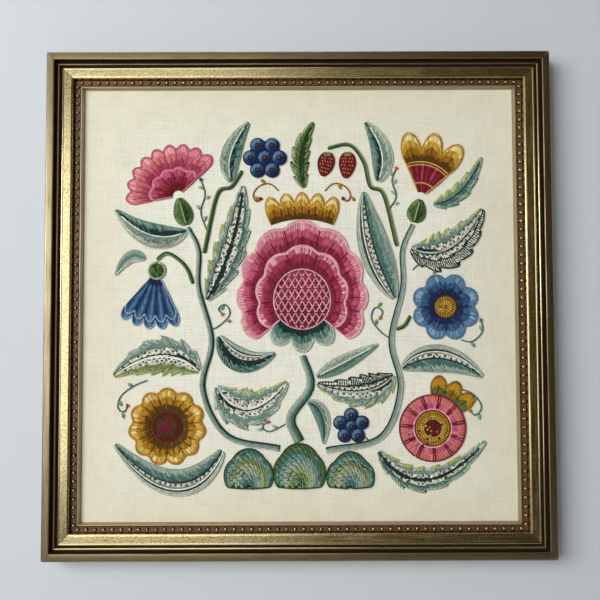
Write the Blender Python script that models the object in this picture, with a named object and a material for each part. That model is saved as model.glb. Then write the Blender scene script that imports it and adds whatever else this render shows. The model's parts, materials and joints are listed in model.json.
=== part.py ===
"""Crewel embroidery panel in its gilt picture frame.

Four mitred lengths of moulding hold a stretched linen ground in their rabbet. The wool motifs stand on
the linen as low padded plates: hillocks, stems, leaves, one large tiered bloom, smaller blooms, berries.
Panel coordinates are millimetres: across to the right, up, and height towards the viewer from the wall.
The origin is the middle of the top rail's back face. The wall is on the +Y side, the front faces -Y.
"""

import math

import bmesh
import bpy
from mathutils import Vector

MM = 0.001

# Frame and cloth
OUTER = 457.2            # outer side of the square frame, 18 in
RAIL_WIDTH = 31.2        # width of the moulding
RAIL_DEPTH = 22.0        # from the wall to the front of the outer band
LIP = 5.8                # how far the moulding covers the cloth
LEDGE_HEIGHT = 9.0       # underside of the lip, where the cloth is held
MITRE_GAP = 0.3          # between two rails, measured across the joint
CLEARANCE = 0.3          # between the cloth and the frame, and under the stitching
LINEN_THICKNESS = 2.0

# Stitching
EDGE_THICKNESS = 0.7     # a motif at its outline
TIER_GAP = 0.5           # between the tiers of one bloom
TOOTH_DEPTH = 0.34       # share of a toothed leaf's width between root and point of a tooth
TOOTH_BULGE = 0.55       # under 1 rounds a tooth out towards its point
TOOTH_STOPS = (0, 0.25, 0.94)   # where the outline has its points along a tooth
NARROWEST = 0.35         # half width of a leaf's ends
LEAF_CROWN = 0.7
PETAL_CROWN = 0.8
DISC_CROWN = 1.0
STEM_CROWN = 0.6
BERRY_DOME = 1.6
BERRY_SPAN = 0.36        # a berry's radius as a share of its cluster's
BERRY_RING = 0.68        # where the ring of berries stands, as a share of the cluster's radius
LEAF_STEPS = 12
STEM_STEPS = 20

HALF = OUTER / 2
RABBET = RAIL_WIDTH - LIP
LINEN_FRONT = LEDGE_HEIGHT - CLEARANCE
STITCH_BACK = LINEN_FRONT + CLEARANCE
CENTRE_BELOW_ORIGIN = HALF - RABBET / 2

# Gilt moulding section, from the outer edge inwards and from the wall forwards
OUTER_ROUND = 1.2
BAND_WIDTH = 7.1
BAND_ROUND = 0.9
GROOVE_HEIGHT = 17.3
RIDGE_MIDDLE = 10.5
RIDGE_ROUND = 0.85
RIDGE_HEIGHT = 19.4
NOSE_START = 13.3
NOSE_ROUND = 1.0
SCOOP_HEIGHT = 18.8
SCOOP_END = 23.0
SCOOP_DROP = 0.9
SCOOP_ROUND = 0.7
LINER_START = 23.7
LINER_END = 28.0
LINER_HEIGHT = 12.9
QUIRK_DEPTH = 0.6
LIP_TOP_START = 28.6
LIP_TOP_END = 30.0
LIP_EDGE_HEIGHT = 10.0

# Yarn and finish colours as sRGB hex, with roughness and metallic value
FINISHES = {
    "gilt": ("A8884A", 0.35, 0.9),
    "linen": ("E6DDC2", 0.9, 0.0),
    "rose_deep": ("A92E5E", 0.85, 0.0),
    "rose": ("C9507F", 0.85, 0.0),
    "pink": ("E07F9E", 0.85, 0.0),
    "coral": ("DD7B7B", 0.85, 0.0),
    "crimson": ("8C1526", 0.85, 0.0),
    "navy": ("2A4690", 0.85, 0.0),
    "blue": ("426BB0", 0.85, 0.0),
    "gold": ("D49A24", 0.85, 0.0),
    "ochre": ("B87A14", 0.85, 0.0),
    "sage": ("749E8C", 0.85, 0.0),
    "teal": ("3F7569", 0.85, 0.0),
    "green": ("48683A", 0.85, 0.0),
    "olive": ("7C8F56", 0.85, 0.0),
}

# Leaves and leaf-like shapes: (base, bend, tip) of the midrib, half width, fullness, teeth, finish
LEAVES = {
    "leaf_lower_left": ((-75, -76), (-50, -118), (-11, -72), 20.0, 0.8, 6, "sage"),
    "leaf_bloom_left": ((-84, 3), (-57, 50), (-51, 108), 16.5, 0.8, 6, "sage"),
    "leaf_bottom_left": ((-70, -134), (-107, -194), (-167, -128), 12.0, 0.7, 0, "teal"),
    "leaf_left": ((-91, -62), (-122, -32), (-169, -66), 19.0, 0.8, 6, "olive"),
    "leaf_upper_left": ((-103, 66), (-136, 50), (-168, 86), 11.0, 0.8, 0, "teal"),
    "leaf_lower_right": ((86, -66), (64, -92), (16, -74), 16.0, 0.8, 6, "olive"),
    "leaf_bloom_right": ((88, 4), (64, 50), (60, 102), 14.5, 0.8, 0, "teal"),
    "leaf_bottom_right": ((72, -135), (110, -190), (169, -126), 12.5, 0.7, 6, "sage"),
    "leaf_right": ((94, -60), (128, -38), (167, -68), 12.5, 0.8, 0, "sage"),
    "leaf_upper_right": ((103, 50), (140, 32), (169, 86), 19.0, 0.8, 6, "olive"),
    "leaf_top_left": ((-62, 112), (-70, 138), (-46, 167), 9.0, 0.7, 0, "sage"),
    "leaf_inner_left": ((-73, -30), (-58, -66), (-22, -46), 11.0, 0.8, 0, "teal"),
    "leaf_inner_right": ((16, -67), (38, -56), (72, -38), 7.0, 0.8, 0, "teal"),
    "leaf_top_middle": ((5, 106), (-6, 138), (14, 167), 9.5, 0.7, 5, "olive"),
    "leaf_top_right": ((73, 112), (86, 138), (62, 167), 9.5, 0.7, 0, "sage"),
    "leaf_bell": ((-141, 40), (-154, 52), (-168, 26), 5.5, 0.8, 0, "sage"),
    "leaf_tulip": ((124, 91), (150, 91), (169, 134), 9.0, 0.7, 5, "sage"),
    "leaf_trunk": ((8, -90), (26, -96), (22, -128), 6.5, 0.8, 0, "sage"),
    "strawberry_left": ((27, 139), (26, 129), (22, 117), 7.5, 0.6, 0, "crimson"),
    "strawberry_right": ((45, 139), (46, 129), (43, 115), 7.5, 0.6, 0, "crimson"),
    "carnation_cup": ((-103, 72), (-106, 82), (-110, 97), 8.5, 0.6, 0, "green"),
    "tulip_cup": ((106, 74), (108, 82), (112, 95), 8.5, 0.6, 0, "green"),
}

# Blooms, discs and mounds: centre, direction and half spread in degrees, inner radius or the tier
# inside, outer radius, extra radius along the direction, petals, notch depth, steps round and out, finish
FANS = {
    "bloom_core": ((3, 2), 90, 180, 0, 26, 3, 1, 0, 36, 3, "rose_deep"),
    "bloom_middle": ((3, 2), 90, 130, "bloom_core", 43, 8, 7, 5, 63, 2, "pink"),
    "bloom_outer": ((3, 2), 90, 130, "bloom_middle", 60, 14, 9, 6, 63, 2, "rose"),
    "bloom_calyx": ((3, 2), 270, 49, "bloom_core", 47, 0, 3, 12, 18, 2, "green"),
    "bloom_crest": ((3, 2), 90, 22, 75, 100, 0, 5, 12, 30, 2, "gold"),
    "carnation_inner": ((-111, 99), 117, 74, 5, 27, 0, 5, 4, 45, 2, "rose_deep"),
    "carnation_outer": ((-111, 99), 117, 74, "carnation_inner", 48, 0, 9, 7, 45, 2, "coral"),
    "tulip_inner": ((112, 96), 76, 36, 6, 34, 0, 1, 0, 18, 2, "crimson"),
    "tulip_outer": ((112, 96), 76, 36, "tulip_inner", 62, 0, 3, 20, 18, 3, "gold"),
    "bell_cap": ((-130, 30), 262, 180, 0, 8, 0, 1, 0, 20, 2, "green"),
    "bell": ((-130, 30), 262, 34, "bell_cap", 54, 0, 5, 9, 20, 3, "blue"),
    "rosette_eye": ((134, -4), 90, 180, 0, 10, 0, 1, 0, 24, 2, "gold"),
    "rosette": ((134, -4), 90, 180, "rosette_eye", 31, 0, 8, 7, 32, 2, "blue"),
    "marigold_eye": ((-120, -112), 90, 180, 0, 14, 0, 1, 0, 22, 2, "crimson"),
    "marigold": ((-120, -112), 90, 180, "marigold_eye", 35, 0, 11, 6, 44, 2, "gold"),
    "pomegranate_heart": ((121, -114), 60, 180, 0, 16, 0, 1, 0, 24, 2, "gold"),
    "pomegranate": ((121, -114), 60, 180, "pomegranate_heart", 30, 0, 1, 0, 30, 2, "coral"),
    "pomegranate_crown": ((121, -114), 60, 32, "pomegranate", 48, 0, 3, 10, 18, 2, "ochre"),
    "berries_top": ((-31, 134), 90, 180, 0, 20, 0, 6, 6, 36, 4, "navy"),
    "berries_bottom": ((47, -112), 90, 180, 0, 15.5, 0, 5, 5, 30, 4, "navy"),
    "hillock_left": ((-46, -168), 90, 86, 0, 22, 14, 3, 3, 18, 3, "olive"),
    "hillock_middle": ((0, -168), 90, 86, 0, 22.5, 18, 3, 3, 18, 3, "green"),
    "hillock_right": ((46, -168), 90, 86, 0, 22, 11, 3, 3, 18, 3, "olive"),
}

# Stems: points that the middle line passes, half width at the start and at the end, finish
STEMS = {
    "stem_trunk": (((0, -126), (-8, -104), (10, -76), (3, -48)), 4.8, 3.0, "teal"),
    "stem_left": (
        ((-18, -132), (-66, -120), (-88, -78), (-80, -34), (-92, 14), (-92, 48), (-102, 70)),
        3.1, 1.9, "teal"),
    "stem_right": (
        ((24, -134), (74, -122), (92, -78), (84, -34), (95, 14), (95, 48), (105, 72)),
        3.1, 1.9, "teal"),
    "stem_bell": (((-97, 18), (-104, 34), (-120, 46), (-130, 40)), 1.6, 1.4, "green"),
    "stem_rosette": (((89, -24), (96, -21), (101.5, -12)), 1.6, 1.4, "green"),
    "stem_top_left": (((-87, 46), (-75, 100), (-62, 107), (-52, 122)), 1.7, 1.4, "green"),
    "stem_top_right": (
        ((90, 52), (78, 100), (66, 107), (60, 130), (47, 146), (27, 143)),
        1.7, 1.4, "green"),
}


def srgb_to_linear(hex_colour):
    channels = [int(hex_colour[i:i + 2], 16) / 255 for i in (0, 2, 4)]
    return [c / 12.92 if c <= 0.04045 else ((c + 0.055) / 1.055) ** 2.4 for c in channels]


def make_finish(name):
    hex_colour, roughness, metallic = FINISHES[name]
    material = bpy.data.materials.new(name)
    material.use_nodes = True
    shader = material.node_tree.nodes["Principled BSDF"]
    shader.inputs["Base Color"].default_value = (*srgb_to_linear(hex_colour), 1.0)
    shader.inputs["Roughness"].default_value = roughness
    shader.inputs["Metallic"].default_value = metallic
    material.diffuse_color = (*srgb_to_linear(hex_colour), 1.0)
    return material


def arc(middle, radius, start, end, steps):
    """Points of a circular arc, angles in degrees."""
    angles = [math.radians(start + (end - start) * i / steps) for i in range(steps + 1)]
    return [(middle[0] + radius * math.cos(a), middle[1] + radius * math.sin(a)) for a in angles]


def moulding_section():
    """Outline of the moulding: distance in from the outer edge, height from the wall."""
    front = RAIL_DEPTH
    quirk = LINER_HEIGHT - QUIRK_DEPTH
    scoop_low = SCOOP_HEIGHT - SCOOP_DROP
    outline = [(0, 0)]
    outline += arc((OUTER_ROUND, front - OUTER_ROUND), OUTER_ROUND, 180, 90, 4)
    outline += arc((BAND_WIDTH - BAND_ROUND, front - BAND_ROUND), BAND_ROUND, 90, 0, 4)
    outline += [(BAND_WIDTH + 0.4, GROOVE_HEIGHT + 0.2), (RIDGE_MIDDLE - 1.0, GROOVE_HEIGHT)]
    outline += arc((RIDGE_MIDDLE, RIDGE_HEIGHT - RIDGE_ROUND), RIDGE_ROUND, 180, 0, 6)
    outline += [(RIDGE_MIDDLE + 0.9, GROOVE_HEIGHT - 0.3), (NOSE_START - 0.2, GROOVE_HEIGHT - 0.3)]
    outline += arc((NOSE_START + NOSE_ROUND, SCOOP_HEIGHT - NOSE_ROUND), NOSE_ROUND, 180, 90, 4)
    outline += arc((SCOOP_END - SCOOP_ROUND, scoop_low - SCOOP_ROUND), SCOOP_ROUND, 84, 0, 3)
    outline += [(SCOOP_END + 0.3, quirk), (LINER_START, quirk)]
    outline += [(LINER_START, LINER_HEIGHT), (LINER_END, LINER_HEIGHT)]
    outline += [(LINER_END, quirk), (LIP_TOP_START - 0.1, quirk)]
    outline += [(LIP_TOP_START, LINER_HEIGHT - 0.3), (LIP_TOP_START + 0.5, LINER_HEIGHT)]
    outline += [(LIP_TOP_END - 0.4, LINER_HEIGHT), (LIP_TOP_END, LINER_HEIGHT - 0.4)]
    outline += [(RAIL_WIDTH, LIP_EDGE_HEIGHT), (RAIL_WIDTH, LEDGE_HEIGHT)]
    outline += [(RABBET, LEDGE_HEIGHT), (RABBET, 0)]
    return outline


def rail_mesh():
    """The top rail: the section drawn out along the rail and cut to 45 degrees at both ends."""
    bm = bmesh.new()
    start = [bm.verts.new((-1, HALF - inward, height)) for inward, height in moulding_section()]
    end_cap = bm.faces.new(start)
    drawn = bmesh.ops.extrude_face_region(bm, geom=[end_cap], use_keep_orig=True)
    far_end = [item for item in drawn["geom"] if isinstance(item, bmesh.types.BMVert)]
    for vertex in far_end:
        vertex.co.x = 1
    for vertex in bm.verts:
        vertex.co.x *= vertex.co.y - MITRE_GAP * math.sqrt(0.5)
    bmesh.ops.recalc_face_normals(bm, faces=bm.faces)
    return finish_mesh(bm, "rail")


def finish_mesh(bm, name):
    """Millimetres to metres, then an ordinary mesh, smooth but for its real edges."""
    bmesh.ops.scale(bm, vec=(MM, MM, MM), verts=bm.verts)
    mesh = bpy.data.meshes.new(name)
    bm.to_mesh(mesh)
    bm.free()
    mesh.shade_smooth()
    mesh.set_sharp_from_angle(angle=math.radians(35))
    return mesh


def through(points, t):
    """Point at t, from 0 to 1, on a smooth curve that passes the given points."""
    knots = [Vector(p) for p in points]
    knots = [2 * knots[0] - knots[1]] + knots + [2 * knots[-1] - knots[-2]]
    spans = len(points) - 1
    span = min(int(t * spans), spans - 1)
    f = t * spans - span
    a, b, c, d = knots[span:span + 4]
    bend = 2 * a - 5 * b + 4 * c - d
    twist = 3 * b - a - 3 * c + d
    return 0.5 * (2 * b + (c - a) * f + bend * f ** 2 + twist * f ** 3)


def arched(points, t):
    """Point at t on the arc from the first point to the last, bent towards the middle one."""
    base, bend, tip = [Vector(p) for p in points]
    return base.lerp(bend, t).lerp(bend.lerp(tip, t), t)


def left_of(curve, points, t):
    """Unit vector to the left of a curve's run at t."""
    run = curve(points, min(t + 0.01, 1)) - curve(points, max(t - 0.01, 0))
    return Vector((-run.y, run.x)).normalized()


def leaf_plan(name):
    """Functions for a leaf's place in the panel and its height above its own back."""
    base, bend, tip, half, fullness, teeth, _ = LEAVES[name]
    midrib = (base, bend, tip)

    def place(along, across):
        width = half * math.sin(math.pi * (0.02 + 0.96 * along) ** 0.85) ** fullness
        if teeth:
            width *= 1 - TOOTH_DEPTH * (1 - ((along * teeth) % 1.0) ** TOOTH_BULGE)
        width = max(width, NARROWEST)
        return arched(midrib, along) + left_of(arched, midrib, along) * width * (2 * across - 1)

    def height(along, across):
        crown = LEAF_CROWN * math.sin(math.pi * abs(2 * across - 1)) * math.sin(math.pi * along)
        return EDGE_THICKNESS + max(crown, 0)

    return place, height


def tooth_steps(teeth):
    """Stops along a leaf: each tooth's root, round and point, or an even run if it has none."""
    if not teeth:
        return [i / LEAF_STEPS for i in range(LEAF_STEPS + 1)]
    stops = []
    for tooth in range(teeth):
        stops += [(tooth + share) / teeth for share in TOOTH_STOPS]
    return stops + [1.0]


def fan_edge(name, degrees):
    """Outer radius of a bloom tier in one direction."""
    _, axis, spread, _, radius, extra, petals, notch, _, _, _ = FANS[name]
    off = (degrees - axis + 180) % 360 - 180
    turn = (off + spread) / (2 * spread)
    lobe = abs(math.sin(math.pi * petals * turn)) if petals > 1 else 1.0
    return radius + extra * max(math.cos(math.radians(off)), 0) ** 2 - notch * (1 - lobe ** 0.7)


def fan_plan(name):
    """Functions for a bloom tier's place in the panel and its height above its own back."""
    centre, axis, spread, inside, _, _, petals, _, _, _, _ = FANS[name]
    is_disc = inside == 0

    def place(turn, out):
        degrees = axis - spread + 2 * spread * turn
        near = fan_edge(inside, degrees) + TIER_GAP if isinstance(inside, str) else inside
        radius = near + (fan_edge(name, degrees) - near) * out
        heading = Vector((math.cos(math.radians(degrees)), math.sin(math.radians(degrees))))
        return Vector(centre) + heading * radius

    def height(turn, out):
        lobe = abs(math.sin(math.pi * petals * turn)) if petals > 1 else 1.0
        if name.startswith("berries"):
            middle_berry = max(1 - (out / BERRY_SPAN) ** 2, 0) ** 0.5
            ring_berry = max(1 - ((out - BERRY_RING) / BERRY_SPAN) ** 2, 0) ** 0.5 * lobe ** 0.5
            return EDGE_THICKNESS + BERRY_DOME * max(middle_berry, ring_berry)
        if is_disc:
            return EDGE_THICKNESS + DISC_CROWN * (1 - out ** 2)
        return EDGE_THICKNESS + PETAL_CROWN * math.sin(math.pi * out) * (0.4 + 0.6 * lobe)

    return place, height


def stem_plan(name):
    """Functions for a stem's place in the panel and its height above its own back."""
    points, start_half, end_half, _ = STEMS[name]

    def place(along, across):
        half = start_half + (end_half - start_half) * along
        return through(points, along) + left_of(through, points, along) * half * (2 * across - 1)

    def height(along, across):
        return EDGE_THICKNESS + STEM_CROWN * (1 - (2 * across - 1) ** 2)

    return place, height


def padded_plate(name, plan, stops, across_steps, is_ring=False, from_point=False):
    """A closed low plate: a grid laid out on the panel, drawn forward, and raised to its padding."""
    place, height = plan
    bm = bmesh.new()
    along_layer = bm.verts.layers.float.new("along")
    across_layer = bm.verts.layers.float.new("across")
    steps = len(stops) - 1
    bmesh.ops.create_grid(bm, x_segments=steps, y_segments=across_steps, size=0.5)
    for vertex in bm.verts:
        along = stops[round((vertex.co.x + 0.5) * steps)]
        across = vertex.co.y + 0.5
        vertex[along_layer] = along
        vertex[across_layer] = across
        spot = place(along, across)
        vertex.co = (spot.x, spot.y, STITCH_BACK)
    if is_ring or from_point:
        bmesh.ops.remove_doubles(bm, verts=bm.verts, dist=0.0001)
    back = bm.faces[:]
    drawn = bmesh.ops.extrude_face_region(bm, geom=back, use_keep_orig=True)
    front = [item for item in drawn["geom"] if isinstance(item, bmesh.types.BMVert)]
    for vertex in front:
        vertex.co.z += height(vertex[along_layer], vertex[across_layer])
    if from_point or not is_ring:
        bmesh.ops.dissolve_faces(bm, faces=back)
    bmesh.ops.recalc_face_normals(bm, faces=bm.faces)
    return finish_mesh(bm, name)


def add_object(name, mesh, finish, collection, parent, turn=0.0):
    piece = bpy.data.objects.new(name, mesh)
    if not mesh.materials:
        mesh.materials.append(finish)
    piece.parent = parent
    piece.rotation_euler.z = turn
    collection.objects.link(piece)
    return piece


def add_rails(collection, parent, finishes):
    """The same mitred rail on each side, turned about the panel's centre."""
    mesh = rail_mesh()
    for quarter, side in enumerate(("top", "left", "bottom", "right")):
        add_object(f"rail_{side}", mesh, finishes["gilt"], collection, parent, math.radians(90 * quarter))


def add_linen(collection, parent, finishes):
    bm = bmesh.new()
    side = OUTER - 2 * RABBET - 2 * CLEARANCE
    bmesh.ops.create_cube(bm, size=1.0)
    bmesh.ops.scale(bm, vec=(side, side, LINEN_THICKNESS), verts=bm.verts)
    bmesh.ops.translate(bm, vec=(0, 0, LINEN_FRONT - LINEN_THICKNESS / 2), verts=bm.verts)
    add_object("linen", finish_mesh(bm, "linen"), finishes["linen"], collection, parent)


def add_stitching(collection, parent, finishes):
    even = [i / STEM_STEPS for i in range(STEM_STEPS + 1)]
    for name, row in STEMS.items():
        mesh = padded_plate(name, stem_plan(name), even, 2)
        add_object(name, mesh, finishes[row[-1]], collection, parent)
    for name, row in LEAVES.items():
        teeth = row[5]
        mesh = padded_plate(name, leaf_plan(name), tooth_steps(teeth), 4)
        add_object(name, mesh, finishes[row[-1]], collection, parent)
    for name, row in FANS.items():
        spread, inside, round_steps, out_steps = row[2], row[3], row[8], row[9]
        stops = [i / round_steps for i in range(round_steps + 1)]
        mesh = padded_plate(name, fan_plan(name), stops, out_steps, spread == 180, inside == 0)
        add_object(name, mesh, finishes[row[-1]], collection, parent)


def main():
    for old in list(bpy.data.objects):
        bpy.data.objects.remove(old, do_unlink=True)
    collection = bpy.data.collections.new("crewel_embroidery_panel")
    bpy.context.scene.collection.children.link(collection)
    centre = bpy.data.objects.new("panel_centre", None)
    centre.location = (0, 0, -CENTRE_BELOW_ORIGIN * MM)
    centre.rotation_euler = (math.radians(90), 0, 0)
    collection.objects.link(centre)
    finishes = {name: make_finish(name) for name in FINISHES}
    add_rails(collection, centre, finishes)
    add_linen(collection, centre, finishes)
    add_stitching(collection, centre, finishes)


main()
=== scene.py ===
"""Crewel embroidery panel in its gilt frame: the finish of every surface.

The moulding is drawn out in fine steps with its gilding, its dark bole grooves and its bronze liner beads.
The linen is one stretched sheet. Every motif is worked over its padding in strands of crewel wool: long and
short stitch, satin stitch, stem stitch, laid trellis, seeding and French knots.
Panel coordinates are millimetres: across to the right, up, and height towards the viewer from the wall.
"""

import json
import math
import random
from collections import namedtuple

import bpy
import numpy as np
from mathutils import Matrix, Vector, noise


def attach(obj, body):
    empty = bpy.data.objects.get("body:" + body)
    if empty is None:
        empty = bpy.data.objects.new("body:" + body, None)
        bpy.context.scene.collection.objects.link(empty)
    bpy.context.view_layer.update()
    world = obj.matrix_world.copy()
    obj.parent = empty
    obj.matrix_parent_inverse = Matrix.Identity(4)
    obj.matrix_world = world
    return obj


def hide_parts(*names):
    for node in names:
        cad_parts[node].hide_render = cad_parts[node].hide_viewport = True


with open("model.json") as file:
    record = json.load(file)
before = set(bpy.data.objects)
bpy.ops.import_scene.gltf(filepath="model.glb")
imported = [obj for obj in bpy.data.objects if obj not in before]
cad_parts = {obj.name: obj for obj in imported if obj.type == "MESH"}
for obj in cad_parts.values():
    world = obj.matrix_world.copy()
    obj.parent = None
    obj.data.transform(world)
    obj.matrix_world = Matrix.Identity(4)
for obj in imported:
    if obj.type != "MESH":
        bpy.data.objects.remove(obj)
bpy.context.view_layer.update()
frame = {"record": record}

MM = 0.001

# Frame and cloth
OUTER = 457.2            # outer side of the square frame
RAIL_WIDTH = 31.2
RAIL_DEPTH = 22.0
LIP = 5.8
LEDGE_HEIGHT = 9.0       # underside of the lip, where the cloth is held
MITRE_GAP = 0.3
CLEARANCE = 0.3
LINEN_THICKNESS = 2.0

HALF = OUTER / 2
RABBET = RAIL_WIDTH - LIP
LINEN_SIDE = OUTER - 2 * RABBET - 2 * CLEARANCE
LINEN_FRONT = LEDGE_HEIGHT - CLEARANCE
STITCH_BACK = LINEN_FRONT + CLEARANCE
CENTRE_BELOW_ORIGIN = HALF - RABBET / 2

# Gilt moulding section, from the outer edge inwards and from the wall forwards
OUTER_ROUND = 1.2
BAND_WIDTH = 7.1
BAND_ROUND = 0.9
GROOVE_HEIGHT = 17.3
RIDGE_MIDDLE = 10.5
RIDGE_ROUND = 0.85
RIDGE_HEIGHT = 19.4
NOSE_START = 13.3
NOSE_ROUND = 1.0
SCOOP_HEIGHT = 18.8
SCOOP_END = 23.0
SCOOP_DROP = 0.9
SCOOP_ROUND = 0.7
GRAINED_START = 0.7      # the grained strip begins this far in from the middle of the nose's round
GRAINED_START_DROP = 0.24
GRAINED_END = 1.4        # and ends this far short of the scoop's inner edge
GRAINED_END_SHARE = 0.62   # of the scoop's drop
LINER_START = 23.7
LINER_END = 28.0
LINER_HEIGHT = 12.9
QUIRK_DEPTH = 0.6
LIP_TOP_START = 28.6
LIP_TOP_END = 30.0
LIP_EDGE_HEIGHT = 10.0
RAIL_STATIONS = 60
RAIL_TEXTURE_STEP = 500.0   # keeps the four rails apart in the pattern of their gilding
SIDES = ("top", "left", "bottom", "right")
# The ridge is dull and darker at the top and left, painted shade where the higher outer band keeps off
# the light from the upper left, and it stays bright at the bottom and right
RIDGE_FINISH_WITH_PAINTED_SHADE = {"top": "toned", "left": "bronze", "bottom": "burnished", "right": "burnished"}
HAND_WAVER = 0.05        # how far the gilder's hand and the wood leave the true section
WAVER_LENGTH = 24.0
WAVER_WIDTH = 3.0

# Liner beads
BEAD_PITCH = 7.75
BEAD_RADIUS = 1.85
BEAD_LINE = 25.85        # distance of the beads from the outer edge
BEAD_SINK = 0.25
BEAD_SIDES = 14
BEAD_RINGS = 6
BEAD_BOLE_AND_SHADE_RINGS = 3      # how many of them the bole covers: bole at the foot, and painted shade up the sides

# Linen
LINEN_STEPS = 110
LINEN_SAG = 0.2
LINEN_RIPPLE = 0.22
RIPPLE_LENGTH = 30.0
SMALL_RIPPLES = (9.0, 11.0)
FLAT_RIM = 6.0           # width of the cloth's edge that the frame keeps flat
EASE_WIDTH = 14.0        # width in which the ripples begin

# Padding under the stitches, as in the solids
EDGE_THICKNESS = 0.7
TIER_GAP = 0.5
TOOTH_DEPTH = 0.34
TOOTH_BULGE = 0.55
NARROWEST = 0.35
LEAF_CROWN = 0.7
PETAL_CROWN = 0.8
DISC_CROWN = 1.0
STEM_CROWN = 0.6
BERRY_DOME = 1.6
BERRY_RING = 0.68
BERRY_LIGHT = Vector((-0.6, 0.8, 0.0))   # where the paler wool faces

# Wool
YARN_WIDTH = 1.35
ROW_PITCH = 1.12         # between strands that lie side by side
STITCH_LENGTH = 7.0
STEM_STEP = 2.1          # a stem stitch is two of these long and laps the last one by half
SINK = 0.5               # how far the padding lies below the top of the stitches
LEAF_SLANT = math.radians(38)
SEED_SPACING = 2.6
SEED_LENGTH = 2.3
SEED_WIDTH = 0.9
KNOT_RADIUS = 1.05
PLY_LENGTH = 2.6         # one turn of the two plies
PATH_SAMPLES = 160
CORE = 0.46              # how far out the open core of a leaf reaches, as a share of its half width
LATTICE_PITCH = 5.4

# A strand's stations along it: share of its length, rise in mm, girth
STRAND_STATIONS = np.array([(0.0, -0.55, 0.6), (0.2, 0.12, 0.97), (0.8, 0.12, 0.97), (1.0, -0.55, 0.6)])
# A strand's round from left to right over its top: sideways and up, in half widths
STRAND_ROUND = np.array([(1.0, -0.5), (0.72, 0.45), (0.0, 0.9), (-0.72, 0.45), (-1.0, -0.5)])
# A French knot from its foot to its top: radius and height in knot radii
KNOT_RINGS = ((0.8, -0.5), (1.05, 0.15), (0.72, 0.68), (0.2, 0.78))
KNOT_SIDES = 7

# Crewel wool by shade, sRGB hex
WOOL = {
    "rose_deep": "8C1F40", "rose": "AF3B5E", "rose_mid": "C95F7C", "pink": "DD8798", "pink_pale": "EFB7BC",
    "coral": "D47A73", "crimson": "720C10", "navy": "162450", "blue_deep": "22406A", "blue": "3A6189",
    "blue_soft": "5C82A2", "blue_pale": "9AB3C8", "teal_dark": "10322F", "teal": "4E776D", "sage": "7E9C8F",
    "sage_light": "A2B3A5", "sage_pale": "C0C8B9", "green_dark": "26421E", "green": "50703C",
    "olive": "7F915A", "olive_pale": "A9B287", "lime": "BFC05E", "ochre_dark": "5E3D07", "ochre": "966809",
    "gold": "BC8A1A", "yellow": "D3AE4C", "yellow_pale": "EFDCA0", "brown": "35210F", "cream": "F3EFE2",
}


def named_rows(columns, shade_columns, table):
    """Names the columns of a table, and parts the wool shades in some of them."""
    row_kind = namedtuple("Row", columns)
    rows = {}
    for name, values in table.items():
        row = row_kind(*values)
        rows[name] = row._replace(**{column: getattr(row, column).split() for column in shade_columns})
    return rows


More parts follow.
